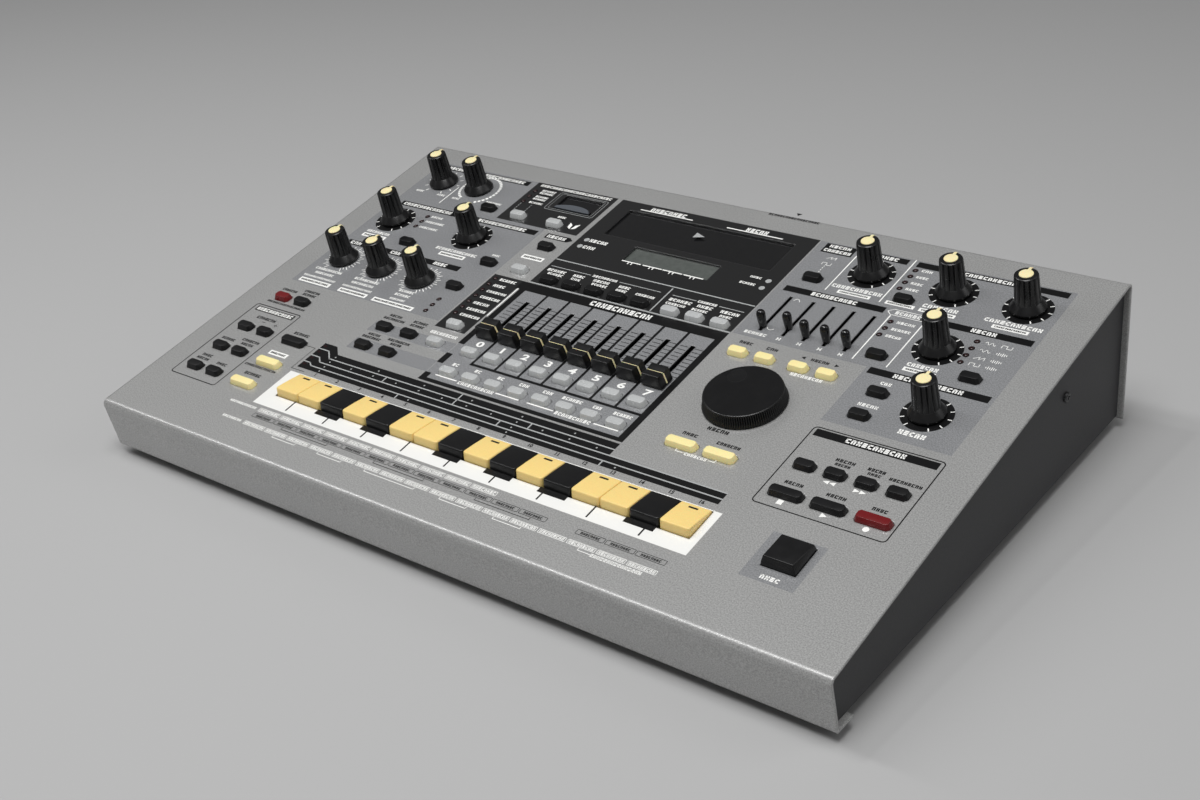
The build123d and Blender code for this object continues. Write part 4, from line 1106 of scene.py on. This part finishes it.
def with_blade(form, half, top):
    """Add the flat blade that goes down through the slot."""
    outline = [(-half, -2.0), (half, -2.0), (half, 2.0), (-half, 2.0)]
    rings = [[form.verts.new((x, y, h)) for x, y in outline] for h in (BLADE_END_H, top)]
    stitch(form, *rings)
    form.faces.new(list(reversed(rings[0])))
    form.faces.new(rings[1])
    return form


def fader_cap():
    """A saddled fader cap with sloping ends, on the blade that goes through its slot."""
    side = [(-4.9, 0.8), (-4.9, 7.6), (-4.3, 8.0), (-2.2, 7.75), (0, 7.25), (2.2, 7.75),
            (4.3, 8.0), (4.9, 7.6), (4.9, 0.8)]
    loops = [[(turn * half_width(h), v, h) for v, h in side] for turn in (-1, 1)]
    return with_blade(rounded(loft_loops(loops), 0.3, 3, 25.0), 0.6, 1.2)


def fader_line():
    """The cream line over a fader cap's saddle and down its ends."""
    form = bmesh.new()
    lift = 0.05
    run = [
        (-half_width(1.6) - lift, 1.6), (-half_width(7.0) - lift, 7.0),
        (-half_width(7.3) + 0.25, 7.25 + lift), (half_width(7.3) - 0.25, 7.25 + lift),
        (half_width(7.0) + lift, 7.0), (half_width(1.6) + lift, 1.6),
    ]
    rows = [[form.verts.new((x, v, h)) for x, h in run] for v in (-0.5, 0.5)]
    for index in range(len(run) - 1):
        form.faces.new(
            [rows[0][index], rows[0][index + 1], rows[1][index + 1], rows[1][index]]
        )
    for face in form.faces:
        face.normal_update()
        if face.normal.z < 0:
            face.normal_flip()
    return form


def slider_stem():
    """A slender pin with a domed top on its thin blade."""
    profile = [
        (0, 0.8), (1.85, 0.8), (2.0, 2.0), (2.2, 4.0), (2.35, 6.0), (2.4, 7.8), (2.3, 8.7),
        (2.0, 9.5), (1.45, 10.1), (0.75, 10.4), (0, 10.5),
    ]
    return with_blade(lathe(profile, 32), 0.55, 0.9)


def screw_head():
    """A pan-head screw with a cross recess, standing on the XY plane, in millimetres."""
    form = bmesh.new()
    arm, reach, segments = 0.35, 1.5, 32
    cross = []
    for c, s in ((1, 0), (0, 1), (-1, 0), (0, -1)):
        for x, y in ((reach, -arm), (reach, arm), (arm, arm)):
            cross.append((x * c - y * s, x * s + y * c))
    rings = [
        [form.verts.new(point) for point in circle(radius, segments, h)]
        for radius, h in ((2.6, 0.0), (2.6, 0.7), (2.45, 1.15), (2.15, 1.45), (1.8, 1.6))
    ]
    for lower, upper in zip(rings, rings[1:]):
        stitch(form, lower, upper)
    top, floor = ([form.verts.new((x, y, h)) for x, y in cross] for h in (1.6, 0.7))
    stitch(form, top, floor)
    form.faces.new(floor)
    edges = [
        form.edges.get((ring[index], ring[(index + 1) % len(ring)]))
        for ring in (rings[-1], top) for index in range(len(ring))
    ]
    bmesh.ops.triangle_fill(form, edges=edges, use_beauty=True)
    form.faces.new(list(reversed(rings[0])))
    bmesh.ops.recalc_face_normals(form, faces=form.faces)
    return form


# ---------------------------------------------------------------- inks


class Ink:
    """Flat printed patches at one height above the panel face."""

    def __init__(self, height):
        self.form = bmesh.new()
        self.height = height

    def patch(self, points):
        """One flat face that looks up, whichever way its corners run."""
        area = sum(
            a[0] * b[1] - b[0] * a[1] for a, b in zip(points, points[1:] + points[:1])
        )
        ordered = points if area > 0 else list(reversed(points))
        self.form.faces.new([self.form.verts.new((u, v, self.height)) for u, v in ordered])

    def box(self, u0, u1, v0, v1):
        """An upright box."""
        self.patch([(u0, v0), (u1, v0), (u1, v1), (u0, v1)])

    def stroke(self, points, width):
        """A line of straight runs with square ends."""
        for (u0, v0), (u1, v1) in zip(points, points[1:]):
            run = hypot(u1 - u0, v1 - v0)
            x = (u1 - u0) / run * width / 2
            y = (v1 - v0) / run * width / 2
            self.patch([
                (u0 - x - y, v0 - y + x), (u0 - x + y, v0 - y - x),
                (u1 + x + y, v1 + y - x), (u1 + x - y, v1 + y + x),
            ])

    def disc(self, u, v, radius, segments=24):
        """A round patch."""
        self.patch([(u + x, v + y) for x, y, _ in circle(radius, segments)])

    def frame(self, u0, u1, v0, v1, width, corner):
        """A rounded outline."""
        loops = [[], []]
        for centre, start in (
            ((u1 - corner, v1 - corner), 0.0), ((u0 + corner, v1 - corner), 0.5),
            ((u0 + corner, v0 + corner), 1.0), ((u1 - corner, v0 + corner), 1.5),
        ):
            for step in range(7):
                angle = (start + step / 12) * pi
                for loop, reach in zip(loops, (corner, max(corner - width, 0.01))):
                    loop.append((centre[0] + reach * cos(angle), centre[1] + reach * sin(angle)))
        count = len(loops[0])
        for index in range(count):
            after = (index + 1) % count
            self.patch([loops[0][index], loops[0][after], loops[1][after], loops[1][index]])

    def word(self, u0, u1, v, height):
        """A placeholder for a word: plain strokes in cells as wide as its letters."""
        count = max(1, round((u1 - u0) / (height * 0.95)))
        pitch = (u1 - u0) / count
        pen = height * 0.29
        for index in range(count):
            left = u0 + (index + 0.08) * pitch
            right = left + pitch * 0.78
            low = v - height * 0.5
            high = v + height * 0.5
            sign = (index * 7 + count * 3) % 4
            if sign != 2:
                self.box(left, left + pen, low, high)
            if sign in (0, 3):
                self.box(right - pen, right, low, high)
            if sign != 3:
                self.box(left, right, high - pen, high)
            if sign in (1, 2):
                self.box(left, right, low, low + pen)
            if sign in (2, 3):
                self.box(left, right, v - pen / 2, v + pen / 2)

    def label(self, u0, u1, v0, v1):
        """A thin box with a placeholder word inside."""
        self.frame(u0, u1, v0, v1, 0.3, 0.4)
        self.word(u0 + 0.7, u1 - 0.7, (v0 + v1) / 2, (v1 - v0) * 0.62)

def notch_lines():
    """The paths of the grey lines between the four note strips."""
    return [
        [(-143.4, 86.1), (-135.7, 86.1), (-130.3, 80.9), (65.7, 80.9)],
        [(-143.4, 79.8), (-136.9, 79.8), (-133.3, 76.4), (133.2, 76.4)],
        [(-143.4, 74.1), (-138.7, 74.1), (-136.0, 72.1), (133.2, 72.1)],
    ]


def black_prints(sheet):
    """The black title bars, channel lines, note strips and key marks."""
    for box in TITLE_BARS:
        sheet.box(*box)
    sheet.patch([(-89.8, 221.1), (-73.2, 221.1), (-70.2, 223.4), (-73.2, 225.7), (-89.8, 225.7)])
    for index in range(7):
        u = -48.9 + BUTTON_PITCH * index
        sheet.box(u - 0.8, u + 0.8, 108.4 if index else 106.7, 173.2)
    sheet.patch([(-143.4, 68.6), (133.2, 68.6), (133.2, 76.2), (-143.4, 76.2)])
    sheet.patch([(-143.4, 76.2), (65.7, 76.2), (65.7, 85.5), (-143.4, 85.5)])
    sheet.patch([(-143.4, 85.5), (-128.0, 85.5), (-133.9, 91.1), (-143.4, 91.1)])
    for number in BLACK_KEYS:
        u = KEY_PLACES[number - 1] - 0.9
        sheet.box(u - 8.4, u + 8.4, 41.4, 44.9)
    for u, top in (
        (-119.9, 45.0), (-91.9, 41.6), (-63.9, 41.6), (-35.8, 45.0), (-6.5, 41.6), (22.9, 41.6),
        (52.4, 41.6), (82.0, 45.0), (111.6, 41.6),
    ):
        sheet.box(u - 0.45, u + 0.45, 36.7, top)
    sheet.frame(-214.8, -177.5, 36.4, 105.7, 0.6, 2.0)
    sheet.frame(144.9, 212.7, 76.8, 133.3, 0.6, 2.4)


def label_bars(sheet):
    """The white bars that carry dark words."""
    for box in LABEL_BARS:
        sheet.box(*box)


def label_words(sheet):
    """The placeholder words inside the white bars."""
    for u0, u1, v0, v1 in LABEL_BARS:
        sheet.word(u0 + 1.2, u1 - 1.2, (v0 + v1) / 2, (v1 - v0) * 0.42)


def fader_ticks():
    """The scale lines beside every fader slot, as one mesh."""
    line = Ink(LOW_INK)
    line.box(-7.0, -2.0, -0.22, 0.22)
    line.box(2.0, 7.0, -0.22, 0.22)
    places = [(u, 162.6 - 2.95 * step) for u, _ in FADER_PLACES for step in range(9)]
    return copies_of("scale", line.form, flat(places), "black panel ink")


def key_brackets(sheet, spans, top, foot, width):
    """Brackets that join the legends of neighbouring keys."""
    for first, last in spans:
        u0, u1 = KEY_PLACES[first], KEY_PLACES[last]
        sheet.stroke([(u0, top), (u0, foot), (u1, foot), (u1, top)], width)


def dark_prints(sheet):
    """The dark words, frames and signs on the bare paint."""
    for word in DARK_WORDS:
        sheet.word(*word)
    sheet.stroke([(-152.9, 85.1), (-145.8, 85.1), (-145.8, 66.4), (-136.0, 66.4)], 0.35)
    sheet.stroke([(-197.0, 92.3), (-194.6, 92.3)], 0.4)
    sheet.stroke([(-187.0, 92.3), (-184.6, 92.3)], 0.4)
    sheet.stroke([(-185.8, 91.1), (-185.8, 93.5)], 0.4)
    # The thirteenth key has no frame in this row.
    for u in KEY_PLACES[:12] + KEY_PLACES[13:]:
        sheet.frame(u - 8.1, u + 8.1, 25.7, 28.8, 0.28, 0.5)
        sheet.word(u - 5.6, u + 5.6, 27.2, 1.5)
    key_brackets(sheet, ((1, 3), (5, 7), (9, 11)), 25.3, 24.1, 0.35)
    sheet.patch([(39.2, 290.6), (42.8, 290.6), (41.0, 288.2)])
    sheet.patch([(111.2, 176.6), (113.4, 175.5), (113.4, 177.7)])
    sheet.patch([(132.4, 176.6), (130.2, 175.5), (130.2, 177.7)])


def white_prints(sheet):
    """The white words, lines, arrows and key labels."""
    for word in WHITE_WORDS:
        sheet.word(*word)
    for u, low, high in (
        (-181.0, 230.6, 249.5), (92.3, 231.0, 264.0), (123.9, 231.0, 270.6),
        (135.0, 184.4, 222.8), (153.7, 184.4, 222.0), (-70.2, 146.0, 173.6),
    ):
        sheet.box(u - 0.35, u + 0.35, low, high)
    for left, right, v in (
        (-51.1, -14.4, 265.0), (8.9, 45.6, 265.0), (-61.7, -46.7, 93.0), (-19.8, -4.2, 93.0),
        (1.1, 18.3, 93.0), (43.9, 58.9, 93.0),
    ):
        sheet.box(left, right, v - 0.4, v + 0.4)
    for left in (-29.8, -15.3, -1.7, 12.2):
        sheet.box(left, left + 13.0, 216.6, 217.4)
        sheet.box(left + 4.9, left + 5.6, 214.9, 216.8)
        sheet.box(left + 7.2, left + 7.9, 214.9, 216.8)
    sheet.stroke(
        [(152.0, 228.0), (134.4, 228.0), (131.9, 225.7), (134.4, 223.4), (152.0, 223.4)], 0.4
    )
    sheet.stroke([(93.4, 94.2), (93.4, 92.0), (97.4, 92.0)], 0.4)
    sheet.stroke([(115.6, 94.2), (115.6, 92.0), (112.6, 92.0)], 0.4)
    for u, side in ((-83.6, 1), (-76.2, -1)):
        sheet.patch([
            (u, 239.4), (u + side * 2.6, 237.6), (u + side * 3.3, 233.4), (u + side * 0.8, 235.0),
        ])
    for u, facing in ((169.7, -1), (172.9, -1), (185.1, 1), (188.3, 1)):
        tail = u - facing * 1.4
        sheet.patch([(tail, 100.9 - 1.2), (tail, 100.9 + 1.2), (u + facing * 1.6, 100.9)])
    sheet.box(156.4, 159.3, 79.6, 82.6)
    sheet.patch([(178.6, 79.6), (178.6, 82.6), (181.9, 81.1)])
    sheet.disc(201.0, 81.1, 1.55)
    for key, u in enumerate(KEY_PLACES):
        if key < 10:
            sheet.label(u - 7.9, u + 7.9, 30.2, 33.1)
        sheet.label(u - 7.9, u + 7.9, 19.0, 21.8)
    for index, width in enumerate((4.5, 4.5, 4.5, 6.5, 6.5, 13.0, 5.5, 11.5)):
        middle = -56.6 + BUTTON_PITCH * index
        sheet.word(middle - width / 2, middle + width / 2, 103.8, 2.2)
    sheet.word(-158.0, -137.4, 31.6, 1.7)
    sheet.word(-152.0, -137.4, 20.4, 1.7)
    key_brackets(sheet, ((1, 2), (3, 4), (5, 7), (8, 9), (10, 11), (13, 15)), 18.5, 17.4, 0.4)
    wave_marks(sheet)


def wave_marks(sheet):
    """Small wave signs beside the wave and low-frequency lamps."""
    for u, v in ((78.2, 257.6), (188.6, 206.6)):
        sheet.stroke([
            (u, v - 1), (u + 2.6, v + 1), (u + 2.6, v - 1), (u + 5.2, v + 1), (u + 5.2, v - 1),
        ], 0.35)
    for u, v in ((78.2, 252.0), (188.6, 201.2), (197.0, 218.6)):
        sheet.stroke([
            (u, v - 1), (u, v + 1), (u + 2.6, v + 1), (u + 2.6, v - 1), (u + 5.2, v - 1),
            (u + 5.2, v + 1),
        ], 0.35)
    for u, v in ((188.6, 218.6), (188.6, 212.6)):
        points = [(u + step * 0.4, v + 1.1 * sin(step * 0.95)) for step in range(14)]
        sheet.stroke(points, 0.35)
    for v in (212.6, 206.6, 201.2):
        for step, reach in enumerate((0.6, 1.2, 0.8, 1.3, 0.9, 0.6)):
            sheet.box(197.0 + step, 197.4 + step, v - reach, v + reach)
    sheet.stroke([(82.0, 217.0), (83.2, 218.6), (84.4, 218.4), (85.6, 216.8)], 0.4)
    sheet.stroke([(81.6, 191.8), (82.8, 190.6), (84.4, 190.4), (85.6, 191.4)], 0.4)
    for v in (249.4, 247.6, 245.8, 244.0):
        sheet.box(80.4, 80.9, v, v + 0.9)


def grey_prints(sheet):
    """The grey lines, dots and frames."""
    for path in notch_lines():
        sheet.stroke(path, 0.75)
    for u, low, high in (
        (-86.1, 76.8, 80.6), (-35.7, 76.8, 85.4), (14.7, 76.8, 80.6), (-2.4, 72.4, 76.2),
        (-69.4, 68.6, 71.8), (65.3, 68.6, 71.8),
    ):
        sheet.box(u - 0.4, u + 0.4, low, high)
    sheet.box(-67.8, 65.6, 204.9, 205.7)
    sheet.box(-68.3, 66.1, 180.7, 181.5)
    sheet.box(14.0, 14.8, 182.0, 203.9)
    for left, right in ((-66.0, -37.8), (-17.8, 10.0), (17.8, 33.3), (47.8, 63.3)):
        sheet.box(left, right, 198.4, 198.9)
    sheet.patch([(-4.4, 250.0), (2.3, 252.5), (-4.4, 255.0)])
    for u in (-62.7, 59.9):
        for v in (227.6, 220.9):
            sheet.disc(u, v, 1.7)
    sheet.frame(-110.9, -74.5, 247.1, 265.6, 0.3, 1.6)
    sheet.frame(-108.9, -76.3, 248.6, 264.6, 0.2, 1.2)
    for u in (-128.5, -120.2):
        for step in range(4):
            sheet.box(u - 0.2, u + 0.2, 240.6 + 2.0 * step, 241.8 + 2.0 * step)
    for u, v in (
        (-127.5, 83.2), (-94.4, 83.2), (-60.9, 83.2), (-27.5, 83.2), (6.3, 83.2), (39.9, 83.2),
        (-127.5, 78.6), (-111.0, 78.6), (-94.4, 78.6), (-77.5, 78.6), (-60.9, 78.6), (-44.4, 78.6),
        (-27.5, 78.6), (-10.7, 78.6), (6.3, 78.6), (23.0, 78.6), (39.9, 78.6), (56.7, 78.6),
        (-127.5, 74.2), (6.3, 74.2), (-127.5, 70.2), (-60.9, 70.2), (6.3, 70.2), (73.9, 70.2),
    ):
        sheet.disc(u, v, 0.5, 8)


def knob_legends():
    """Tick marks round the knobs, and the black discs that some of them stand on."""
    lent = {}
    for shape, half, near, far in (
        ("disc", 0.3, 10.4, 12.5), ("long", 0.27, 9.8, 13.0), ("short", 0.27, 9.8, 11.6),
        ("growing", 0.85, 11.6, 13.2),
    ):
        tick = Ink(HIGH_INK)
        tick.box(-half, half, near, far)
        lent[shape] = scratch(f"{shape} tick", tick.form)
    # Each ring of ticks as (shape, count, first and next in degrees, growth from tick to tick).
    patterns = {
        "disc": [("disc", 11, 150, -30, 0.0)],
        "short": [("disc", 11, 150, -30, 0.0)],
        "fine": [("long", 16, 150, -20, 0.0), ("short", 15, 140, -20, 0.0)],
        "growing": [("growing", 31, 150, -10, 0.006)],
    }
    anchor = scratch("anchor", bpy.data.meshes.new("anchor"))
    rings = {}
    for legend, parts in patterns.items():
        rings[legend] = merged(*(
            grown(
                anchor, node_tree("copies round an axis"),
                {"Piece": lent[shape], "Count": count, "Start": radians(first),
                 "Step": radians(turn), "Growth": growth,
                 "Material": finish_named("white panel ink")},
            )
            for shape, count, first, turn, growth in parts
        ))
    discard(anchor, *lent.values())
    whites = []
    discs = Ink(LOW_INK)
    for u, v, legend in KNOBS.values():
        ring = rings[legend].copy()
        ring.transform(at(u, v))
        whites.append(ring)
        if legend == "disc":
            discs.disc(u, v, 12.6, 48)
    return merged(*whites), discs


# ---------------------------------------------------------------- operators


class MakeOperator(bpy.types.Operator):
    """Base of the operators that make one group of pieces."""

    bl_options = {"REGISTER"}

    def execute(self, context):
        self.make()
        return {"FINISHED"}


class DRUM_OT_finishes(MakeOperator):
    """Make every paint, ink and moulding, and dress the frame's own nodes in them"""

    bl_idname = "drum.finishes"
    bl_label = "Finishes"

    def make(self):
        make_materials()
        for name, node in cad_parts.items():
            finish = finish_named(NODE_FINISHES.get(name, "satin black moulding"))
            node.data.materials.clear()
            node.data.materials.append(finish)


class DRUM_OT_knobs(MakeOperator):
    """Make the skirted knobs and their ivory tips"""

    bl_idname = "drum.knobs"
    bl_label = "Knobs"

    def make(self):
        grip = knob_grip()
        tip = knob_tip()
        for name, (u, v, _) in KNOBS.items():
            place = PANEL @ at(u, v)
            piece(f"{name}_grip", grip.copy(), "knob black moulding", name, place, (name,))
            piece(f"{name}_tip", tip.copy(), "ivory tip moulding", name, place)


class DRUM_OT_dial(MakeOperator):
    """Make the ribbed value dial and its glossy top"""

    bl_idname = "drum.dial"
    bl_label = "Value dial"

    def make(self):
        place = PANEL @ at(*DIAL_PLACE)
        body = "value_dial"
        piece("dial_wall", dial_body(), "knob black moulding", body, place, (body,))
        piece("dial_top", dial_top(), "gloss black dial", body, place)


class DRUM_OT_faders(MakeOperator):
    """Make the mixer faders with their cream lines, and the envelope sliders"""

    bl_idname = "drum.faders"
    bl_label = "Faders and sliders"

    def make(self):
        cap = smooth(mesh_from(fader_cap(), "cap"))
        line = mesh_from(fader_line(), "line")
        stem = smooth(mesh_from(slider_stem(), "stem"))
        for number, (u, v) in enumerate(FADER_PLACES, 1):
            name = f"fader_{number}"
            place = PANEL @ at(u, v)
            piece(f"{name}_cap", cap.copy(), "satin black moulding", name, place, (name,))
            piece(f"{name}_line", line.copy(), "ivory tip moulding", name, place)
        for label, u in SLIDERS.items():
            name = f"slider_{label}"
            place = PANEL @ at(u, ATTACK_V if label == "attack" else SLIDER_V)
            piece(f"{name}_stem", stem.copy(), "gloss black stem", name, place, (name,))


class DRUM_OT_keys(MakeOperator):
    """Make the sixteen note keys, the dashes on the cream ones, and the tap pad"""

    bl_idname = "drum.keys"
    bl_label = "Keys and pad"

    def make(self):
        top = smooth(mesh_from(note_key(), "key"), 30.0)
        for number, u in enumerate(KEY_PLACES, 1):
            name = f"key_{number:02d}"
            place = PANEL @ at(u, 0)
            if number in BLACK_KEYS:
                piece(f"{name}_top", top.copy(), "satin black moulding", name, place, (name,))
                continue
            piece(f"{name}_top", top.copy(), "cream key moulding", name, place, (name,))
            piece(
                f"{name}_dash", key_dash(), "dark lettering ink", name, place,
                slot="cream_plastic",
            )
        pad = smooth(mesh_from(tap_pad_form(), "pad"), 30.0)
        place = PANEL @ at(*PAD_PLACE)
        piece("tap_pad_top", pad, "satin black moulding", "tap_pad", place, ("tap_pad",))


class DRUM_OT_buttons(MakeOperator):
    """Make every bank of push caps from one narrow and one wide cap"""

    bl_idname = "drum.buttons"
    bl_label = "Push caps"

    def make(self):
        lent = {wide: scratch("push cap", push_cap(wide)) for wide in (False, True)}
        for helper in lent.values():
            smooth(helper.data, 30.0)
        for bank, places in BUTTON_BANKS.items():
            finish = BANK_FINISHES[bank]
            meshes = []
            for wide, helper in lent.items():
                chosen = [(u, v) for u, v, is_wide in places if is_wide == wide]
                if chosen:
                    meshes.append(copies_at(bank, flat(chosen), helper, finish))
            piece(f"{bank}_caps", merged(*meshes), finish, bank, PANEL, (bank,))
        discard(*lent.values())


class DRUM_OT_prints(MakeOperator):
    """Print the bars, lines, scales and placeholder words on the panel"""

    bl_idname = "drum.prints"
    bl_label = "Panel inks"

    def make(self):
        self.print_sheet("ink_black", "black panel ink", LOW_INK, black_prints)
        legends, discs = knob_legends()
        piece("ink_discs", discs.form, "black panel ink", "case")
        piece("ink_knob_ticks", legends, "white panel ink", "case")
        piece("ink_fader_scale", fader_ticks(), "black panel ink", "case")
        self.print_sheet("ink_label_bars", "white panel ink", LOW_INK, label_bars)
        self.print_sheet("ink_label_words", "dark lettering ink", HIGH_INK, label_words)
        self.print_sheet("ink_dark", "dark lettering ink", LOW_INK, dark_prints)
        self.print_sheet("ink_white", "white panel ink", HIGH_INK, white_prints)
        self.print_sheet("ink_grey", "grey panel ink", HIGH_INK, grey_prints)

    def print_sheet(self, name, finish, height, fill):
        """One ink at one height, filled by a function."""
        sheet = Ink(height)
        fill(sheet)
        piece(name, sheet.form, finish, "case")


class DRUM_OT_numbers(MakeOperator):
    """Number the keys and the mixer's channels"""

    bl_idname = "drum.numbers"
    bl_label = "Numbers"

    def make(self):
        marks = [(str(number), u, 66.9, 2.3) for number, u in enumerate(KEY_PLACES, 1)]
        self.print_numbers("numbers_keys", marks, "dark lettering ink", 1.0, 0.035)
        marks = [(str(index), u, 123.1, 4.4) for index, (u, _) in enumerate(FADER_PLACES)]
        self.print_numbers("numbers_channels", marks, "white panel ink", 1.6, 0.045)

    def print_numbers(self, name, marks, finish, stretch, bold):
        """Numbers at (text, u, v, height), stretched sideways and made bolder."""
        size_per_height = 1.35
        form = bmesh.new()
        for text, u, v, height in marks:
            font = bpy.data.curves.new(name, "FONT")
            font.body = text
            font.size = height * size_per_height
            font.align_x = "CENTER"
            font.align_y = "CENTER"
            font.offset = height * bold
            font.resolution_u = 3
            helper = placed(name, font)
            bpy.context.view_layer.update()
            graph = bpy.context.evaluated_depsgraph_get()
            mesh = bpy.data.meshes.new_from_object(helper.evaluated_get(graph))
            mesh.transform(at(u, v, HIGH_INK) @ Matrix.Diagonal((stretch, 1.0, 1.0, 1.0)))
            form.from_mesh(mesh)
            discard(helper)
        piece(name, form, finish, "case")


class DRUM_OT_lamps(MakeOperator):
    """Set the small unlit diodes in their dark rings"""

    bl_idname = "drum.lamps"
    bl_label = "Diodes"

    def make(self):
        spots = flat([(u, v) for u, column in LED_COLUMNS.items() for v in column])
        dome = lathe([(1.25, 0.0), (1.2, 0.25), (0.95, 0.5), (0.5, 0.65), (0, 0.7)], 20)
        domes = smooth(copies_of("domes", dome, spots, "unlit red diode lens"), 60.0)
        piece("diode_lenses", domes, "unlit red diode lens", "case")
        ring = Ink(LOW_INK)
        ring.disc(0, 0, 1.65, 20)
        rims = copies_of("rims", ring.form, spots, "black panel ink")
        piece("diode_rims", rims, "black panel ink", "case")
        strip = Ink(HIGH_INK)
        for v in (88.9, 83.6, 77.9, 72.2):
            strip.box(-142.4, -140.0, v - 0.55, v + 0.55)
        piece("strip_diodes", strip.form, "unlit red diode lens", "case")


class DRUM_OT_hardware(MakeOperator):
    """Set the cross-head screws of the case and the nuts of the rear jacks"""

    bl_idname = "drum.hardware"
    bl_label = "Screws and nuts"

    def make(self):
        finish = "black oxide screw steel"
        screws = smooth(copies_of("screws", screw_head(), SCREW_PLACES, finish))
        piece("screw_heads", screws, finish, "case", UPRIGHT, ("case_screws",))
        finish = "nickel plated nut"
        nut = lathe(
            [(3.3, 0.0), (5.6, 0.0), (5.6, 0.9), (5.3, 1.2), (3.7, 1.2), (3.3, 1.0), (3.3, 0.0)],
            48,
        )
        places = [((x, REAR_FACE_Y, SOCKET_Z), (-90.0, 0.0, 0.0)) for x in JACK_X]
        nuts = smooth(copies_of("nuts", nut, places, finish))
        piece("jack_nuts", nuts, finish, "case", UPRIGHT)


class DRUM_OT_stage(MakeOperator):
    """Lay the pale floor, hang the soft lamps and set the camera"""

    bl_idname = "drum.stage"
    bl_label = "Stage"

    def make(self):
        lay_floor()
        hang_lamps()
        set_camera()


def lay_floor():
    """A pale matt floor; a low view from far off still shows its edge."""
    form = bmesh.new()
    reach = 6.0
    corners = [(-reach, -reach), (reach, -reach), (reach, reach), (-reach, reach)]
    form.faces.new([form.verts.new((x, y, 0.0)) for x, y in corners])
    mesh = mesh_from(form, "floor")
    new_material("pale studio floor", **{"Roughness": 0.8, "Base Color": hex_linear("b2b2b2")})
    mesh.materials.append(finish_named("pale studio floor"))
    placed("floor", mesh)


def soft_lamp(name, place, target, size, power):
    """An area lamp that faces a target."""
    lamp = bpy.data.lights.new(name, "AREA")
    lamp.shape = "RECTANGLE"
    lamp.size, lamp.size_y = size
    lamp.energy = power
    holder = placed(name, lamp)
    holder.location = place
    facing = Vector(target) - Vector(place)
    holder.rotation_mode = "QUATERNION"
    holder.rotation_quaternion = facing.to_track_quat("-Z", "Y")


def hang_lamps():
    """A dim grey world, three soft lamps, one weak one and a small one for highlights."""
    world = bpy.data.worlds.new("studio")
    world.use_nodes = True
    tree = world.node_tree
    tree.nodes.clear()
    sky = add(tree, "ShaderNodeBackground", {"Color": hex_linear("e6e6e6"), "Strength": 0.16})
    add(tree, "ShaderNodeOutputWorld", {"Surface": sky.outputs[0]})
    bpy.context.scene.world = world
    soft_lamp("over_right", (0.25, -0.4, 1.5), (0, 0, 0), (0.8, 0.8), 17)
    soft_lamp("strip_over_left", (-1.03, -0.25, 1.23), (-1.03, -0.14, 0.035), (1.4, 0.14), 7)
    soft_lamp("side_left", (-1.1, -0.9, 0.75), (0, 0, 0), (0.3, 0.4), 0.2)
    soft_lamp("small_sparkle", (-0.35, -0.1, 1.5), (0, 0, 0), (0.07, 0.07), 1.6)
    soft_lamp("low_right_rear", (1.2, 0.6, 1.0), (0, 0, 0), (0.8, 0.8), 2.4)


def set_camera():
    """The camera stands to the right of the front, high up, tipped a little to one side."""
    azimuth, elevation, distance = radians(41.22), radians(29.14), 0.83088
    target = Vector((0.02003, -0.0169, 0.040))
    roll = radians(-6.47)
    back = Vector((sin(azimuth) * cos(elevation), -cos(azimuth) * cos(elevation), sin(elevation)))
    right = Vector((0, 0, 1)).cross(back).normalized()
    up = back.cross(right)
    tipped_right = right * cos(roll) + up * sin(roll)
    tipped_up = up * cos(roll) - right * sin(roll)
    turn = Matrix((tipped_right, tipped_up, back)).transposed()
    camera = bpy.data.cameras.new("camera")
    camera.sensor_width = 36.0
    # A focal length of 1629.4 pixels on a view 1200 pixels wide.
    camera.lens = 1629.4 / 1200 * camera.sensor_width
    camera.clip_start = 0.01
    camera.clip_end = 50.0
    holder = placed("camera", camera)
    holder.matrix_world = Matrix.Translation(target + back * distance) @ turn.to_4x4()
    bpy.context.scene.camera = holder
    bpy.context.scene.view_settings.view_transform = "Standard"


class DRUM_PT_panel(bpy.types.Panel):
    """The steps of the drum machine, in order"""

    bl_idname = "DRUM_PT_panel"
    bl_label = "Drum machine"
    bl_space_type = "VIEW_3D"
    bl_region_type = "UI"
    bl_category = "Drum machine"

    def draw(self, context):
        for step in STEPS:
            self.layout.operator(step.bl_idname)
        for group in (sizes(), colours()):
            for name in group.__annotations__:
                self.layout.prop(group, name)


STEPS = (
    DRUM_OT_finishes,
    DRUM_OT_knobs,
    DRUM_OT_dial,
    DRUM_OT_faders,
    DRUM_OT_keys,
    DRUM_OT_buttons,
    DRUM_OT_prints,
    DRUM_OT_numbers,
    DRUM_OT_lamps,
    DRUM_OT_hardware,
    DRUM_OT_stage,
)
CLASSES = (DrumMachineSizes, DrumMachineColours, *STEPS, DRUM_PT_panel)


def register():
    """Make the settings, the steps and the panel known."""
    for cls in CLASSES:
        bpy.utils.register_class(cls)
    bpy.types.Scene.drum_machine_sizes = bpy.props.PointerProperty(type=DrumMachineSizes)
    bpy.types.Scene.drum_machine_colours = bpy.props.PointerProperty(type=DrumMachineColours)


def unregister():
    """Take the settings, the steps and the panel away."""
    del bpy.types.Scene.drum_machine_sizes
    del bpy.types.Scene.drum_machine_colours
    for cls in reversed(CLASSES):
        bpy.utils.unregister_class(cls)


def main():
    """Take every step in order."""
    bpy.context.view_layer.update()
    register()
    for step in STEPS:
        group, action = step.bl_idname.split(".")
        getattr(getattr(bpy.ops, group), action)()


if __name__ == "__main__":
    main()
